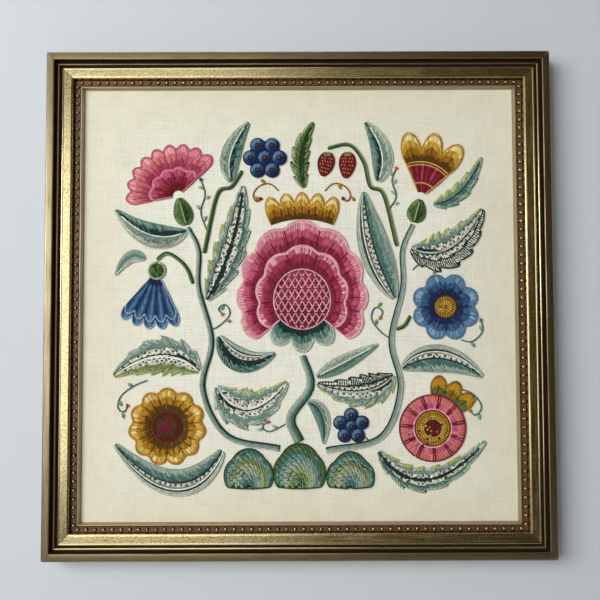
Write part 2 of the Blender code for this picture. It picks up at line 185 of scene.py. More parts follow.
# Leaves: (base, bend, tip) of the midrib, half width, fullness, teeth, how it is worked, then the shades of
# its left and right half from the midrib outwards, its rib, and its rim or its left teeth's points
LEAVES = named_rows("base bend tip half fullness teeth way left right rib rim", ("left", "right"), {
    "leaf_lower_left": ((-75, -76), (-50, -118), (-11, -72), 20.0, 0.8, 6, "open",
        "sage sage_pale", "sage sage_pale", "cream", "lime"),
    "leaf_bloom_left": ((-84, 3), (-57, 50), (-51, 108), 16.5, 0.8, 6, "open",
        "sage sage_pale", "teal sage sage_pale", "teal_dark", "lime"),
    "leaf_bottom_left": ((-70, -134), (-107, -194), (-167, -128), 12.0, 0.7, 0, "split",
        "teal_dark sage sage_pale", "teal sage sage_light", "teal_dark", "sage_pale"),
    "leaf_left": ((-91, -62), (-122, -32), (-169, -66), 19.0, 0.8, 6, "open",
        "olive olive_pale", "sage sage_pale", "cream", "lime"),
    "leaf_upper_left": ((-103, 66), (-136, 50), (-168, 86), 11.0, 0.8, 0, "solid",
        "sage sage_light sage_pale", "teal_dark teal sage", "cream", "sage"),
    "leaf_lower_right": ((86, -66), (64, -92), (16, -74), 16.0, 0.8, 6, "barred",
        "sage sage_pale", "cream", "teal_dark", "lime"),
    "leaf_bloom_right": ((88, 4), (64, 50), (60, 102), 14.5, 0.8, 0, "split",
        "teal_dark sage sage_pale", "teal sage sage_light", "teal_dark", "sage_light"),
    "leaf_bottom_right": ((72, -135), (110, -190), (169, -126), 12.5, 0.7, 6, "open",
        "sage sage_pale", "teal sage sage_pale", "teal_dark", "lime"),
    "leaf_right": ((94, -60), (128, -38), (167, -68), 12.5, 0.8, 0, "split",
        "teal_dark sage_light sage_pale", "teal sage sage_light", "teal_dark", "sage_light"),
    "leaf_upper_right": ((103, 50), (140, 32), (169, 86), 19.0, 0.8, 6, "barred",
        "sage sage_pale", "cream", "teal_dark", "lime"),
    "leaf_top_left": ((-62, 112), (-70, 138), (-46, 167), 9.0, 0.7, 0, "solid",
        "sage sage_light sage_pale", "teal_dark teal sage", "cream", "sage"),
    "leaf_inner_left": ((-73, -30), (-58, -66), (-22, -46), 11.0, 0.8, 0, "split",
        "teal_dark sage sage_pale", "teal_dark teal sage", "teal_dark", "sage"),
    "leaf_inner_right": ((16, -67), (38, -56), (72, -38), 7.0, 0.8, 0, "solid",
        "sage_light sage_pale", "teal sage", "cream", "sage"),
    "leaf_top_middle": ((5, 106), (-6, 138), (14, 167), 9.5, 0.7, 5, "solid",
        "green olive olive_pale", "green_dark green olive", "green_dark", "olive_pale"),
    "leaf_top_right": ((73, 112), (86, 138), (62, 167), 9.5, 0.7, 0, "solid",
        "teal_dark teal sage", "sage sage_light sage_pale", "cream", "sage"),
    "leaf_bell": ((-141, 40), (-154, 52), (-168, 26), 5.5, 0.8, 0, "solid",
        "sage_light sage_pale", "sage sage_light", "teal", "sage_light"),
    "leaf_tulip": ((124, 91), (150, 91), (169, 134), 9.0, 0.7, 5, "solid",
        "sage sage_light sage_pale", "teal sage sage_light", "teal_dark", "lime"),
    "leaf_trunk": ((8, -90), (26, -96), (22, -128), 6.5, 0.8, 0, "solid",
        "sage sage_pale", "teal sage", "teal_dark", "sage_light"),
    "strawberry_left": ((27, 139), (26, 129), (22, 117), 7.5, 0.6, 0, "berry",
        "crimson crimson", "rose_deep crimson", "crimson", "crimson"),
    "strawberry_right": ((45, 139), (46, 129), (43, 115), 7.5, 0.6, 0, "berry",
        "crimson crimson", "rose_deep crimson", "crimson", "crimson"),
    "carnation_cup": ((-103, 72), (-106, 82), (-110, 97), 8.5, 0.6, 0, "solid",
        "green olive", "green_dark green", "olive_pale", "green"),
    "tulip_cup": ((106, 74), (108, 82), (112, 95), 8.5, 0.6, 0, "solid",
        "green olive", "green_dark green", "olive_pale", "green"),
})

# Blooms, discs and mounds: centre, direction and half spread in degrees, inner radius or the tier inside,
# outer radius, extra radius along the direction, petals, notch depth, how it is worked, its shades from the
# inside outwards, the shade between its petals and its rim
FANS = named_rows(
    "centre axis spread inside radius extra petals notch way shades seam rim", ("shades",), {
    "bloom_core": ((3, 2), 90, 180, 0, 26, 3, 1, 0, "trellis",
        "rose_deep rose", "pink_pale", "pink_pale"),
    "bloom_middle": ((3, 2), 90, 130, "bloom_core", 43, 8, 7, 5, "petals",
        "rose_deep rose_deep rose rose_mid pink_pale", "crimson", "pink_pale"),
    "bloom_outer": ((3, 2), 90, 130, "bloom_middle", 60, 14, 9, 6, "petals",
        "rose_deep rose rose_mid pink pink_pale", "crimson", "pink_pale"),
    "bloom_calyx": ((3, 2), 270, 49, "bloom_core", 47, 0, 3, 12, "petals",
        "teal_dark teal sage sage_light", "teal_dark", "sage_pale"),
    "bloom_crest": ((3, 2), 90, 22, 75, 100, 0, 5, 12, "petals",
        "ochre_dark ochre gold yellow yellow_pale", "crimson", "gold"),
    "carnation_inner": ((-111, 99), 117, 74, 5, 27, 0, 5, 4, "petals",
        "crimson rose_deep rose rose_mid", "crimson", "pink"),
    "carnation_outer": ((-111, 99), 117, 74, "carnation_inner", 48, 0, 9, 7, "petals",
        "rose rose_mid coral pink pink_pale", "rose", "rose_mid"),
    "tulip_inner": ((112, 96), 76, 36, 6, 34, 0, 1, 0, "stripes",
        "crimson rose_deep crimson rose", "crimson", "yellow"),
    "tulip_outer": ((112, 96), 76, 36, "tulip_inner", 62, 0, 3, 20, "petals",
        "ochre_dark ochre gold yellow yellow_pale", "ochre_dark", "gold"),
    "bell_cap": ((-130, 30), 262, 180, 0, 8, 0, 1, 0, "petals",
        "green_dark green", "green_dark", "olive_pale"),
    "bell": ((-130, 30), 262, 34, "bell_cap", 54, 0, 5, 9, "stripes",
        "navy blue_deep blue blue_soft blue blue_deep", "navy", "blue_pale"),
    "rosette_eye": ((134, -4), 90, 180, 0, 10, 0, 1, 0, "knots",
        "gold yellow ochre", "ochre_dark", "ochre_dark"),
    "rosette": ((134, -4), 90, 180, "rosette_eye", 31, 0, 8, 7, "petals",
        "navy blue_deep blue blue_soft blue_pale", "navy", "blue_soft"),
    "marigold_eye": ((-120, -112), 90, 180, 0, 14, 0, 1, 0, "knots",
        "crimson ochre_dark rose_deep", "crimson", "ochre_dark"),
    "marigold": ((-120, -112), 90, 180, "marigold_eye", 35, 0, 11, 6, "petals",
        "ochre_dark ochre gold yellow yellow_pale", "ochre_dark", "gold"),
    "pomegranate_heart": ((121, -114), 60, 180, 0, 16, 0, 1, 0, "knots",
        "gold yellow crimson", "crimson", "crimson"),
    "pomegranate": ((121, -114), 60, 180, "pomegranate_heart", 30, 0, 1, 0, "segments",
        "rose rose_mid pink coral", "crimson", "rose_deep"),
    "pomegranate_crown": ((121, -114), 60, 32, "pomegranate", 48, 0, 3, 10, "petals",
        "green ochre gold yellow", "green_dark", "ochre"),
    "berries_top": ((-31, 134), 90, 180, 0, 20, 0, 6, 6, "berries",
        "navy blue_deep blue blue_soft", "brown", "navy"),
    "berries_bottom": ((47, -112), 90, 180, 0, 15.5, 0, 5, 5, "berries",
        "navy blue_deep blue blue_soft", "brown", "navy"),
    "hillock_left": ((-46, -168), 90, 86, 0, 22, 14, 3, 3, "mound",
        "teal_dark teal sage sage_light olive_pale olive sage teal", "", "green_dark"),
    "hillock_middle": ((0, -168), 90, 86, 0, 22.5, 18, 3, 3, "mound",
        "green_dark green olive olive_pale sage_light sage teal green", "", "green_dark"),
    "hillock_right": ((46, -168), 90, 86, 0, 22, 11, 3, 3, "mound",
        "teal_dark teal sage sage_light olive_pale olive sage teal", "", "green_dark"),
})

# Stems: points that the middle line passes, half width at the start and at the end, shades across it
STEMS = named_rows("points start_half end_half shades", ("shades",), {
    "stem_trunk": (((0, -126), (-8, -104), (10, -76), (3, -48)), 4.8, 3.0,
        "sage_pale sage_light sage teal teal_dark"),
    "stem_left": (
        ((-18, -132), (-66, -120), (-88, -78), (-80, -34), (-92, 14), (-92, 48), (-102, 70)),
        3.1, 1.9, "sage_pale sage_light sage teal_dark"),
    "stem_right": (
        ((24, -134), (74, -122), (92, -78), (84, -34), (95, 14), (95, 48), (105, 72)),
        3.1, 1.9, "teal_dark sage sage_light sage_pale"),
    "stem_bell": (((-97, 18), (-104, 34), (-120, 46), (-130, 40)), 1.6, 1.4, "olive green green_dark"),
    "stem_rosette": (((89, -24), (96, -21), (101.5, -12)), 1.6, 1.4, "olive green green_dark"),
    "stem_top_left": (((-87, 46), (-75, 100), (-62, 107), (-52, 122)), 1.7, 1.4, "olive green green_dark"),
    "stem_top_right": (
        ((90, 52), (78, 100), (66, 107), (60, 130), (47, 146), (27, 143)),
        1.7, 1.4, "green_dark green olive"),
})

# Single-line tendrils: points, shade of the line, leaflets beside it, their shade, knot at the tip
TENDRILS = (
    (((-83, -26), (-72, -20), (-63, -10), (-67, -1), (-74, -5), (-70, -10)), "teal", 2, "sage", "gold"),
    (((85, -34), (74, -26), (66, -14), (70, -4), (77, -8), (74, -14)), "teal", 2, "olive", "gold"),
    (((-9, -108), (-18, -113), (-28, -117), (-34, -112), (-28, -108)), "teal", 2, "sage_light", "rose_mid"),
    (((64, -126), (60, -122), (57, -120)), "green", 0, "sage", "green"),
    (((-84, 66), (-90, 84), (-86, 100), (-90, 114)), "green", 4, "sage_light", "blue"),
    (((82, 84), (90, 98), (86, 112), (90, 124)), "green", 4, "sage_light", "rose_mid"),
    (((148, -34), (158, -36), (168, -26), (166, -16)), "teal", 2, "sage", "blue_soft"),
    (((24, 103), (32, 110), (42, 108), (48, 100), (45, 93), (41, 96)), "ochre", 2, "gold", "crimson"),
    (((-18, 103), (-26, 110), (-36, 108), (-42, 100), (-39, 93), (-35, 96)), "ochre", 2, "gold", "crimson"),
    (((-138, -70), (-150, -75), (-162, -84), (-165, -95), (-159, -99), (-156, -93)),
     "teal", 3, "sage", "rose"),
    (((148, -79), (159, -84), (166, -95), (160, -103), (155, -98)), "teal", 2, "sage", "gold"),
    (((-131, 52), (-140, 64), (-152, 66)), "teal", 0, "sage", "blue"),
    (((104, 30), (112, 36), (122, 34), (124, 28)), "teal", 2, "sage_light", "gold"),
)

# Gilding, bole and bronze, sRGB hex
GILT = "DDCFA3"
GILT_SHADE = "9A8549"
BAND_GILT = "A99B7C"
BAND_SHADE = "6C5A34"
BOLE = "20140A"
BOLE_DUST = "3A2814"
BRONZE = "735437"
BRONZE_SHADE = "4C3420"
BEAD_METAL = "C0AC8E"
BEAD_DUST = "3A2618"
LIP_GILT = "AE9F7E"
LIP_SHADE = "7C6B4C"
RAW_WOOD = "B08D62"
WOOD_GRAIN = "7E5E3A"
LINEN_COLOUR = "F3F2E5"
LINEN_SLUB = "E6DFC7"
# Darker, yellower linen colour, painted towards the frame as its shade
LINEN_PAINTED_SHADE = "EAE4CC"

# Camera, as the photograph was taken: lens and sensor in mm, place in panel mm, turns in degrees
CAMERA_LENS = 40.0
CAMERA_SENSOR = 36.0
CAMERA_PLACE = (0.4, -21.9, 618.2)
CAMERA_TURNS = (2.313, -0.059, -0.183)

# How bright the room is from left to right in front of the panel: place from 0 to 1, linear colour
ROOM_STOPS = ((0.25, (0.5, 0.5, 0.49)), (0.46, (0.48, 0.46, 0.38)), (0.5, (0.3, 0.26, 0.16)),
              (0.55, (0.12, 0.085, 0.03)), (0.6, (0.06, 0.036, 0.008)), (0.7, (0.045, 0.023, 0.004)),
              (0.85, (0.09, 0.095, 0.11)))
ROOM_LEFT_END = (0.24, 0.25, 0.27)
ROOM_RIGHT_END = (0.18, 0.2, 0.23)
ROOM_OVERHEAD = (0.14, 0.15, 0.17)
ROOM_BEHIND = (0.75, 0.76, 0.78)

# Name, place and size in metres, watts, colour, whether it lights cloth and wall, whether metal mirrors it
LIGHTS = (
    ("window", (-1.3, -1.6, 0.25), (1.5, 1.3), 44.0, (0.99, 1.0, 0.99), True, False),
    ("window_mirrored", (-0.6, -1.6, -0.17), (1.05, 1.08), 5.5, (1.0, 1.0, 1.0), False, True),
    ("window_glint", (-1.44, -1.38, 0.1), (0.5, 0.5), 12.0, (1.0, 1.0, 1.0), False, True),
    ("ceiling_mirrored", (-0.5, -0.7, 2.2), (1.6, 0.6), 12.0, (1.0, 0.98, 0.92), False, True),
)

# Width of the square opening in the wall, which the panel covers, and height of the floor, in metres
WALL_OPENING = 0.45
FLOOR_HEIGHT = -1.9
STAGE_HALF = 4.0
WALL_TOP = 3.0
WALL_GAP = 0.001

WALL_COLOUR = "D0D5DB"
FLOOR_COLOUR = "DAD8D2"


# Colours and nodes

def srgb(hex_colour):
    """A hex colour as linear red, green, blue and alpha."""
    channels = [int(hex_colour[i:i + 2], 16) / 255 for i in (0, 2, 4)]
    return (*(c / 12.92 if c <= 0.04045 else ((c + 0.055) / 1.055) ** 2.4 for c in channels), 1.0)


def fill(tree, target, sockets):
    """Gives sockets a value or a link each. A node stands for its factor, or else its first live output."""
    for socket, value in sockets.items():
        if isinstance(value, bpy.types.Node):
            value = value.outputs.get("Fac") or next(output for output in value.outputs if output.enabled)
        if isinstance(value, bpy.types.NodeSocket):
            tree.links.new(value, target.inputs[socket])
        else:
            target.inputs[socket].default_value = value


def node(tree, kind, sockets=None, **settings):
    """Adds a node, sets its own properties, then fills its sockets."""
    added = tree.nodes.new("ShaderNode" + kind)
    for name, value in settings.items():
        setattr(added, name, value)
    fill(tree, added, sockets or {})
    return added


def new_material(name):
    material = bpy.data.materials.new(name)
    material.use_nodes = True
    return material, material.node_tree, material.node_tree.nodes["Principled BSDF"]


# Materials. Sockets by number: a MapRange has its value, old range and new range at 0, 1 and 2, 3 and 4, a
# Mix its share at 0 and its colours at 6 and 7, and a Mapping its vector, place, turn and stretch at 0 to 3.

def crewel_wool(shade):
    """Crewel wool, two worsted plies twisted loosely and laid by hand. It is matt with a soft pale bloom of
    fibres, each strand a little lighter or darker than the next, and the plies show as slanting ribs."""
    material, tree, shader = new_material("crewel_wool_" + shade)
    lay = node(tree, "Attribute", attribute_name="lay")
    ply = node(tree, "Attribute", attribute_name="ply").outputs["Vector"]
    stretched = node(tree, "Mapping", {0: ply, 3: (0.45, 2.2, 1.0)})
    fibres = node(tree, "TexNoise", {"Vector": stretched, "Scale": 1.6, "Detail": 3.0})
    strand_value = node(tree, "MapRange", {0: lay, 3: 0.8, 4: 1.2})
    fibre_value = node(tree, "MapRange", {0: fibres, 1: 0.3, 2: 0.7, 3: 0.9, 4: 1.12})
    value = node(tree, "Math", {0: strand_value, 1: fibre_value}, operation="MULTIPLY")
    dyed = node(tree, "HueSaturation", {"Value": value, "Color": srgb(WOOL[shade])})
    slant = node(tree, "Mapping", {0: ply, 2: (0.0, 0.0, math.radians(38))})
    plies = node(tree, "TexWave", {"Vector": slant, "Scale": 1.55 / PLY_LENGTH, "Distortion": 0.6,
                                   "Detail": 1.0})
    ribs = node(tree, "Bump", {"Strength": 0.5, "Distance": 0.25 * MM, "Height": plies})
    hairs = node(tree, "Bump", {"Strength": 0.35, "Distance": 0.12 * MM, "Height": fibres, "Normal": ribs})
    fill(tree, shader, {"Base Color": dyed, "Normal": hairs, "Roughness": 0.85, "Specular IOR Level": 0.3,
                        "Sheen Weight": 0.15, "Sheen Roughness": 0.45})
    return material


def linen_weave():
    """Natural linen, plain woven from slubby flax thread and bleached to cream. It is matt and light, with
    fine crossing threads and a thicker slub here and there, and it is painted a little darker and yellower
    towards the frame as the frame's shade."""
    material, tree, shader = new_material("natural_linen")
    place = node(tree, "TexCoord").outputs["Object"]
    in_mm = node(tree, "Mapping", {0: place, 3: (1000.0, 1000.0, 1000.0)})
    # The thread spacing is 0.7 mm, and it is drawn at 1.5 mm so that it shows
    drift = node(tree, "TexNoise", {"Vector": in_mm, "Scale": 0.06, "Detail": 2.0})
    threads = [node(tree, "TexWave", {"Vector": in_mm, "Scale": 0.21, "Distortion": 2.4, "Detail": 2.0,
                                      "Detail Scale": 0.6}, wave_type="BANDS", bands_direction=direction)
               for direction in ("X", "Z")]
    weave = node(tree, "Math", {0: threads[0], 1: threads[1]}, operation="MULTIPLY")
    slubs = []
    for stretch in ((0.04, 1.0, 0.5), (0.5, 1.0, 0.04)):
        along = node(tree, "Mapping", {0: in_mm, 3: stretch})
        slubs.append(node(tree, "TexNoise", {"Vector": along, "Scale": 1.3, "Detail": 2.0}))
    slub = node(tree, "Math", {0: slubs[0], 1: slubs[1]}, operation="ADD")
    slub_mask = node(tree, "MapRange", {0: slub, 1: 0.95, 2: 1.3, 3: 0.0, 4: 0.9})
    centred = node(tree, "Mapping", {0: place, 1: (0.0, 0.0, CENTRE_BELOW_ORIGIN * MM)})
    sides = node(tree, "SeparateXYZ", {0: centred}).outputs
    spans = [node(tree, "Math", {0: sides[axis]}, operation="ABSOLUTE") for axis in ("X", "Z")]
    span = node(tree, "Math", {0: spans[0], 1: spans[1]}, operation="MAXIMUM")
    # Painted shade: towards the frame the cloth is mixed with a darker, yellower colour
    near_frame = node(tree, "MapRange", {0: span, 1: 0.12, 2: 0.2, 3: 0.0, 4: 1.0})
    ground = node(tree, "Mix", {0: near_frame, 6: srgb(LINEN_COLOUR), 7: srgb(LINEN_PAINTED_SHADE)}, data_type="RGBA")
    mottled = node(tree, "Mix", {0: slub_mask, 6: ground, 7: srgb(LINEN_SLUB)}, data_type="RGBA")
    thread_value = node(tree, "MapRange", {0: weave, 1: 0.0, 2: 0.7, 3: 0.91, 4: 1.03})
    drift_value = node(tree, "MapRange", {0: drift, 1: 0.3, 2: 0.7, 3: 0.97, 4: 1.03})
    value = node(tree, "Math", {0: thread_value, 1: drift_value}, operation="MULTIPLY")
    cloth = node(tree, "HueSaturation", {"Value": value, "Color": mottled})
    height = node(tree, "Math", {0: weave, 1: slub_mask}, operation="ADD")
    relief = node(tree, "Bump", {"Strength": 0.4, "Distance": 0.2 * MM, "Height": height})
    fill(tree, shader, {"Base Color": cloth, "Normal": relief, "Roughness": 0.92, "Specular IOR Level": 0.2})
    return material


def gilding(name, metal, shade, roughness, grain, wear, streaking=0.4, metallic=1.0):
    """Metal leaf laid over dark bole on carved wood, burnished or left grained, and toned with age. It
    mirrors softly, drawn out in fine streaks along the rail, and the bole shows where it is rubbed."""
    material, tree, shader = new_material(name)
    rail = node(tree, "Attribute", attribute_name="rail").outputs["Vector"]
    # Real streaks and grains are 0.5 mm across, and they are drawn at about 1 mm so that they show
    drawn_out = node(tree, "Mapping", {0: rail, 3: (0.02, 0.6, 0.6)})
    streaks = node(tree, "TexNoise", {"Vector": drawn_out, "Scale": 1.2, "Detail": 4.0})
    clouds = node(tree, "TexNoise", {"Vector": rail, "Scale": 0.035, "Detail": 4.0, "Roughness": 0.6})
    specks = node(tree, "TexNoise", {"Vector": rail, "Scale": 0.95, "Detail": 1.0, "Roughness": 0.5})
    toning = node(tree, "Math", {0: clouds, 1: 0.4, 2: streaks}, operation="MULTIPLY_ADD")
    toned = node(tree, "MapRange", {0: toning, 1: 0.6, 2: 0.95, 3: 0.0, 4: streaking})
    grained = node(tree, "MapRange", {0: specks, 1: 0.42, 2: 0.6, 3: 0.0, 4: grain})
    shaded = node(tree, "Math", {0: toned, 1: grained}, operation="MAXIMUM")
    leaf = node(tree, "Mix", {0: shaded, 6: srgb(metal), 7: srgb(shade)}, data_type="RGBA")
    rubbed = node(tree, "Math", {0: specks, 1: clouds}, operation="ADD")
    bare = node(tree, "MapRange", {0: rubbed, 1: 1.32 - wear, 2: 1.42 - wear, 3: 0.0, 4: 0.8})
    colour = node(tree, "Mix", {0: bare, 6: leaf, 7: srgb(BOLE_DUST)}, data_type="RGBA")
    shine = node(tree, "MapRange", {0: bare, 3: metallic, 4: 0.1})
    dull = node(tree, "MapRange", {0: toning, 1: 0.5, 2: 0.95, 3: roughness - 0.05, 4: roughness + 0.1})
    brushed = node(tree, "Bump", {"Strength": 0.1, "Distance": 0.2 * MM, "Height": streaks})
    pitted = node(tree, "Bump", {"Strength": 0.05 + grain * 0.3, "Distance": 0.2 * MM, "Height": specks,
                                 "Normal": brushed})
    fill(tree, shader, {"Base Color": colour, "Metallic": shine, "Roughness": dull, "Normal": pitted})
    return material


def lacquered_beads():
    """Turned beads, bronzed and lacquered. They are dark and smooth, with a small bright spot of window, and
    dusty here and there."""
    material, tree, shader = new_material("lacquered_beads")
    rail = node(tree, "Attribute", attribute_name="rail").outputs["Vector"]
    rubbing = node(tree, "TexNoise", {"Vector": rail, "Scale": 0.4, "Detail": 3.0})
    share = node(tree, "MapRange", {0: rubbing, 1: 0.5, 2: 0.75, 3: 0.0, 4: 0.6})
    colour = node(tree, "Mix", {0: share, 6: srgb(BEAD_METAL), 7: srgb(BEAD_DUST)}, data_type="RGBA")
    fill(tree, shader, {"Base Color": colour, "Metallic": 1.0, "Roughness": 0.12, "Coat Weight": 0.5,
                        "Coat Roughness": 0.08})
    return material


def painted_bole():
    """Dark brown bole brushed into the grooves. It is nearly black and dull, dustier where it is thick."""
    material, tree, shader = new_material("painted_bole")
    rail = node(tree, "Attribute", attribute_name="rail").outputs["Vector"]
    dust = node(tree, "TexNoise", {"Vector": rail, "Scale": 0.25, "Detail": 4.0})
    share = node(tree, "MapRange", {0: dust, 1: 0.35, 2: 0.75, 3: 0.0, 4: 0.5})
    colour = node(tree, "Mix", {0: share, 6: srgb(BOLE), 7: srgb(BOLE_DUST)}, data_type="RGBA")
    relief = node(tree, "Bump", {"Strength": 0.2, "Distance": 0.2 * MM, "Height": dust})
    fill(tree, shader, {"Base Color": colour, "Normal": relief, "Roughness": 0.8, "Specular IOR Level": 0.15})
    return material


def raw_wood():
    """Light hardwood, planed and left raw at the back. It is matt, with grain drawn out along the rail."""
    material, tree, shader = new_material("raw_hardwood")
    rail = node(tree, "Attribute", attribute_name="rail").outputs["Vector"]
    along = node(tree, "Mapping", {0: rail, 3: (0.02, 0.9, 0.9)})
    grain = node(tree, "TexNoise", {"Vector": along, "Scale": 1.0, "Detail": 5.0})
    colour = node(tree, "Mix", {0: grain, 6: srgb(RAW_WOOD), 7: srgb(WOOD_GRAIN)}, data_type="RGBA")
    relief = node(tree, "Bump", {"Strength": 0.3, "Distance": 0.3 * MM, "Height": grain})
    fill(tree, shader, {"Base Color": colour, "Normal": relief, "Roughness": 0.75})
    return material


def plain_paint(name, hex_colour):
    """Matt wall paint, rolled on. It is even, with a faint stipple."""
    material, tree, shader = new_material(name)
    place = node(tree, "TexCoord").outputs["Object"]
    stipple = node(tree, "TexNoise", {"Vector": place, "Scale": 260.0, "Detail": 3.0})
    relief = node(tree, "Bump", {"Strength": 0.12, "Distance": 0.5 * MM, "Height": stipple})
    fill(tree, shader, {"Base Color": srgb(hex_colour), "Normal": relief, "Roughness": 0.9})
    return material


# Meshes

def to_world(points):
    """Rows of panel millimetres to metres in the frame: right is +X, up is +Z, the viewer is at -Y."""
    points = np.asarray(points, dtype=float)
    return np.column_stack((points[:, 0], -points[:, 2], points[:, 1] - CENTRE_BELOW_ORIGIN)) * MM


def link(kept):
    bpy.context.scene.collection.objects.link(kept)
    return kept


def add_piece(name, points, faces, materials, slot, replaced=(), face_materials=None, values=None):
    """Makes one closed piece, gives it its materials and point values, and lets it ride on the part."""
    mesh = bpy.data.meshes.new(name)
    mesh.from_pydata(to_world(points).tolist(), [], faces)
    for material in materials:
        mesh.materials.append(material)
    if face_materials is not None:
        mesh.polygons.foreach_set("material_index", np.asarray(face_materials, dtype=np.int32))
    for value_name, rows in (values or {}).items():
        rows = np.asarray(rows, dtype=np.float32)
        kind = "FLOAT" if rows.ndim == 1 else "FLOAT_VECTOR"
        attribute = mesh.attributes.new(value_name, kind, "POINT")
        attribute.data.foreach_set("value" if kind == "FLOAT" else "vector", rows.ravel())
    mesh.shade_smooth()
    piece = link(bpy.data.objects.new(name, mesh))
    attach(piece, "root")
    if replaced:
        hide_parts(*replaced)
    return piece


def grid_faces(rows, columns, first=0):
    """Quads of a grid of points stored row by row."""
    return [(first + r * columns + c, first + r * columns + c + 1,
             first + (r + 1) * columns + c + 1, first + (r + 1) * columns + c)
            for r in range(rows - 1) for c in range(columns - 1)]


def closed_slab(front, back, rows, columns):
    """A closed body from two grids of points, front first: both faces and the wall round them."""
    count = rows * columns
    faces = grid_faces(rows, columns)
    faces += [tuple(reversed(face)) for face in grid_faces(rows, columns, count)]
    rim = list(range(columns))
    rim += [r * columns + columns - 1 for r in range(1, rows)]
    rim += [(rows - 1) * columns + c for c in range(columns - 2, -1, -1)]
    rim += [r * columns for r in range(rows - 2, 0, -1)]
    for here, there in zip(rim, rim[1:] + rim[:1]):
        faces.append((here, here + count, there + count, there))
    return np.vstack((front, back)), faces


def tube_faces(rings, sides, first=0):
    """Quads between rings of points that turn left, stored ring by ring, and then a cap at each end."""
    faces = []
    for ring in range(rings - 1):
        for k in range(sides):
            here, there = first + ring * sides + k, first + ring * sides + (k + 1) % sides
            faces.append((here, there, there + sides, here + sides))
    faces.append(tuple(range(first + sides - 1, first - 1, -1)))
    faces.append(tuple(range(first + (rings - 1) * sides, first + rings * sides)))
    return faces


# Needlework

class Needlework:
    """The wool of one motif, gathered stitch by stitch and then made one mesh."""

    def __init__(self, name):
        self.name = name
        self.dice = random.Random(name)
        self.shades = []
        self.strands = []
        self.solids = []

    def shade_number(self, shade):
        if shade not in self.shades:
            self.shades.append(shade)
        return self.shades.index(shade)

    def stitch(self, start, end, shade, width=YARN_WIDTH, arch=0.0):
        """One strand from start to end, both on top of the padding."""
        if (end - start).length < 0.3:
            return
        lay, roll = self.dice.random(), self.dice.uniform(0, 40)
        self.strands.append((*start, *end, width, arch, lay, roll, self.shade_number(shade)))

    def knot(self, place, shade, radius=KNOT_RADIUS):
        """One French knot, its foot in the place."""
        lay = self.dice.random()
        points, ply = [], []
        for ring, (reach, rise) in enumerate(KNOT_RINGS):
            for side in range(KNOT_SIDES):
                ray = heading(360 * (side + ring / 2 + lay) / KNOT_SIDES) * radius * reach
                points.append((*(place + ray + lift(radius * rise)),))
                ply.append((side * 0.9 + lay * 40, ring * 0.7 - 1, lay * 9))
        faces = tube_faces(len(KNOT_RINGS), KNOT_SIDES)
        self.solids.append((points, ply, lay, faces, self.shade_number(shade)))

    def bed(self, place, shade, rows, columns, low=0.0, high=1.0):
        """Laid wool that fills the ground under the stitches, just below them."""
        front = np.array([place(c / (columns - 1), low + (high - low) * r / (rows - 1))
                          for r in range(rows) for c in range(columns)])
        back = front.copy()
        back[:, 2] = LINEN_FRONT - 0.3
        run = np.cross(front[1] - front[0], front[columns] - front[0])
        points, faces = closed_slab(front, back, rows, columns)
        if run[2] < 0:
            faces = [tuple(reversed(face)) for face in faces]
        self.solids.append((points.tolist(), (points * 0.9).tolist(), 0.0, faces, self.shade_number(shade)))

    def strand_points(self):
        """Places, ply places and lay of all strands' points, worked out in one go."""
        rows = np.array(self.strands)
        start, end = rows[:, None, None, 0:3], rows[:, None, None, 3:6]
        width, arch, lay, roll = (rows[:, column, None, None] for column in (6, 7, 8, 9))
        share, rise, girth = (STRAND_STATIONS[None, :, i, None] for i in range(3))
        sideways, up = STRAND_ROUND[None, None, :, 0], STRAND_ROUND[None, None, :, 1]
        points = np.repeat(start + (end - start) * share[..., None], len(STRAND_ROUND), axis=2)
        run = rows[:, 3:5] - rows[:, 0:2]
        length = np.maximum(np.hypot(run[:, 0], run[:, 1]), 0.01)[:, None, None]
        reach = sideways * girth * width / 2
        points[..., 0] -= run[:, 1, None, None] / length * reach
        points[..., 1] += run[:, 0, None, None] / length * reach
        points[..., 2] += rise + arch * 4 * share * (1 - share) + up * girth * width / 2
        ply = [np.broadcast_to(value, points.shape[:3]) for value in (share * length + roll, sideways, roll)]
        lay = np.broadcast_to(lay, points.shape[:3])
        return points.reshape(-1, 3), np.stack(ply, axis=-1).reshape(-1, 3), lay.ravel()

    def make(self, wools, slot, replaced=()):
        """Joins the strands, beds and knots in one piece."""
        points, ply, lay = (rows.tolist() for rows in self.strand_points())
        strand = tube_faces(len(STRAND_STATIONS), len(STRAND_ROUND))
        size = len(STRAND_STATIONS) * len(STRAND_ROUND)
        faces, shades = [], []
        for number, row in enumerate(self.strands):
            faces += [tuple(number * size + i for i in face) for face in strand]
            shades += [row[-1]] * len(strand)
        for solid_points, solid_ply, solid_lay, solid_faces, shade in self.solids:
            first = len(points)
            points += solid_points
            ply += solid_ply
            lay += [solid_lay] * len(solid_points)
            faces += [tuple(first + i for i in face) for face in solid_faces]
            shades += [shade] * len(solid_faces)
        return add_piece(self.name, points, faces, [wools[shade] for shade in self.shades], slot, replaced,
                         shades, {"lay": lay, "ply": ply})


# Directions and curves in the plane of the panel

def heading(degrees):
    """Unit vector, turned left from the right."""
    return Vector((math.cos(math.radians(degrees)), math.sin(math.radians(degrees)), 0))


def aside(run):
    """Unit vector to the left of a run."""
    return Vector((-run.y, run.x, 0)).normalized()


def lift(height):
    return Vector((0, 0, height))


def at(spot, height):
    """The same spot, at a height from the wall."""
    return Vector((spot.x, spot.y, height))


def at_linen(spot):
    return at(spot, LINEN_FRONT + 0.15)


def on_bed(spot, padding):
    """The same spot, raised to the padding that the stitches lie on."""
    return at(spot, STITCH_BACK + padding - SINK)


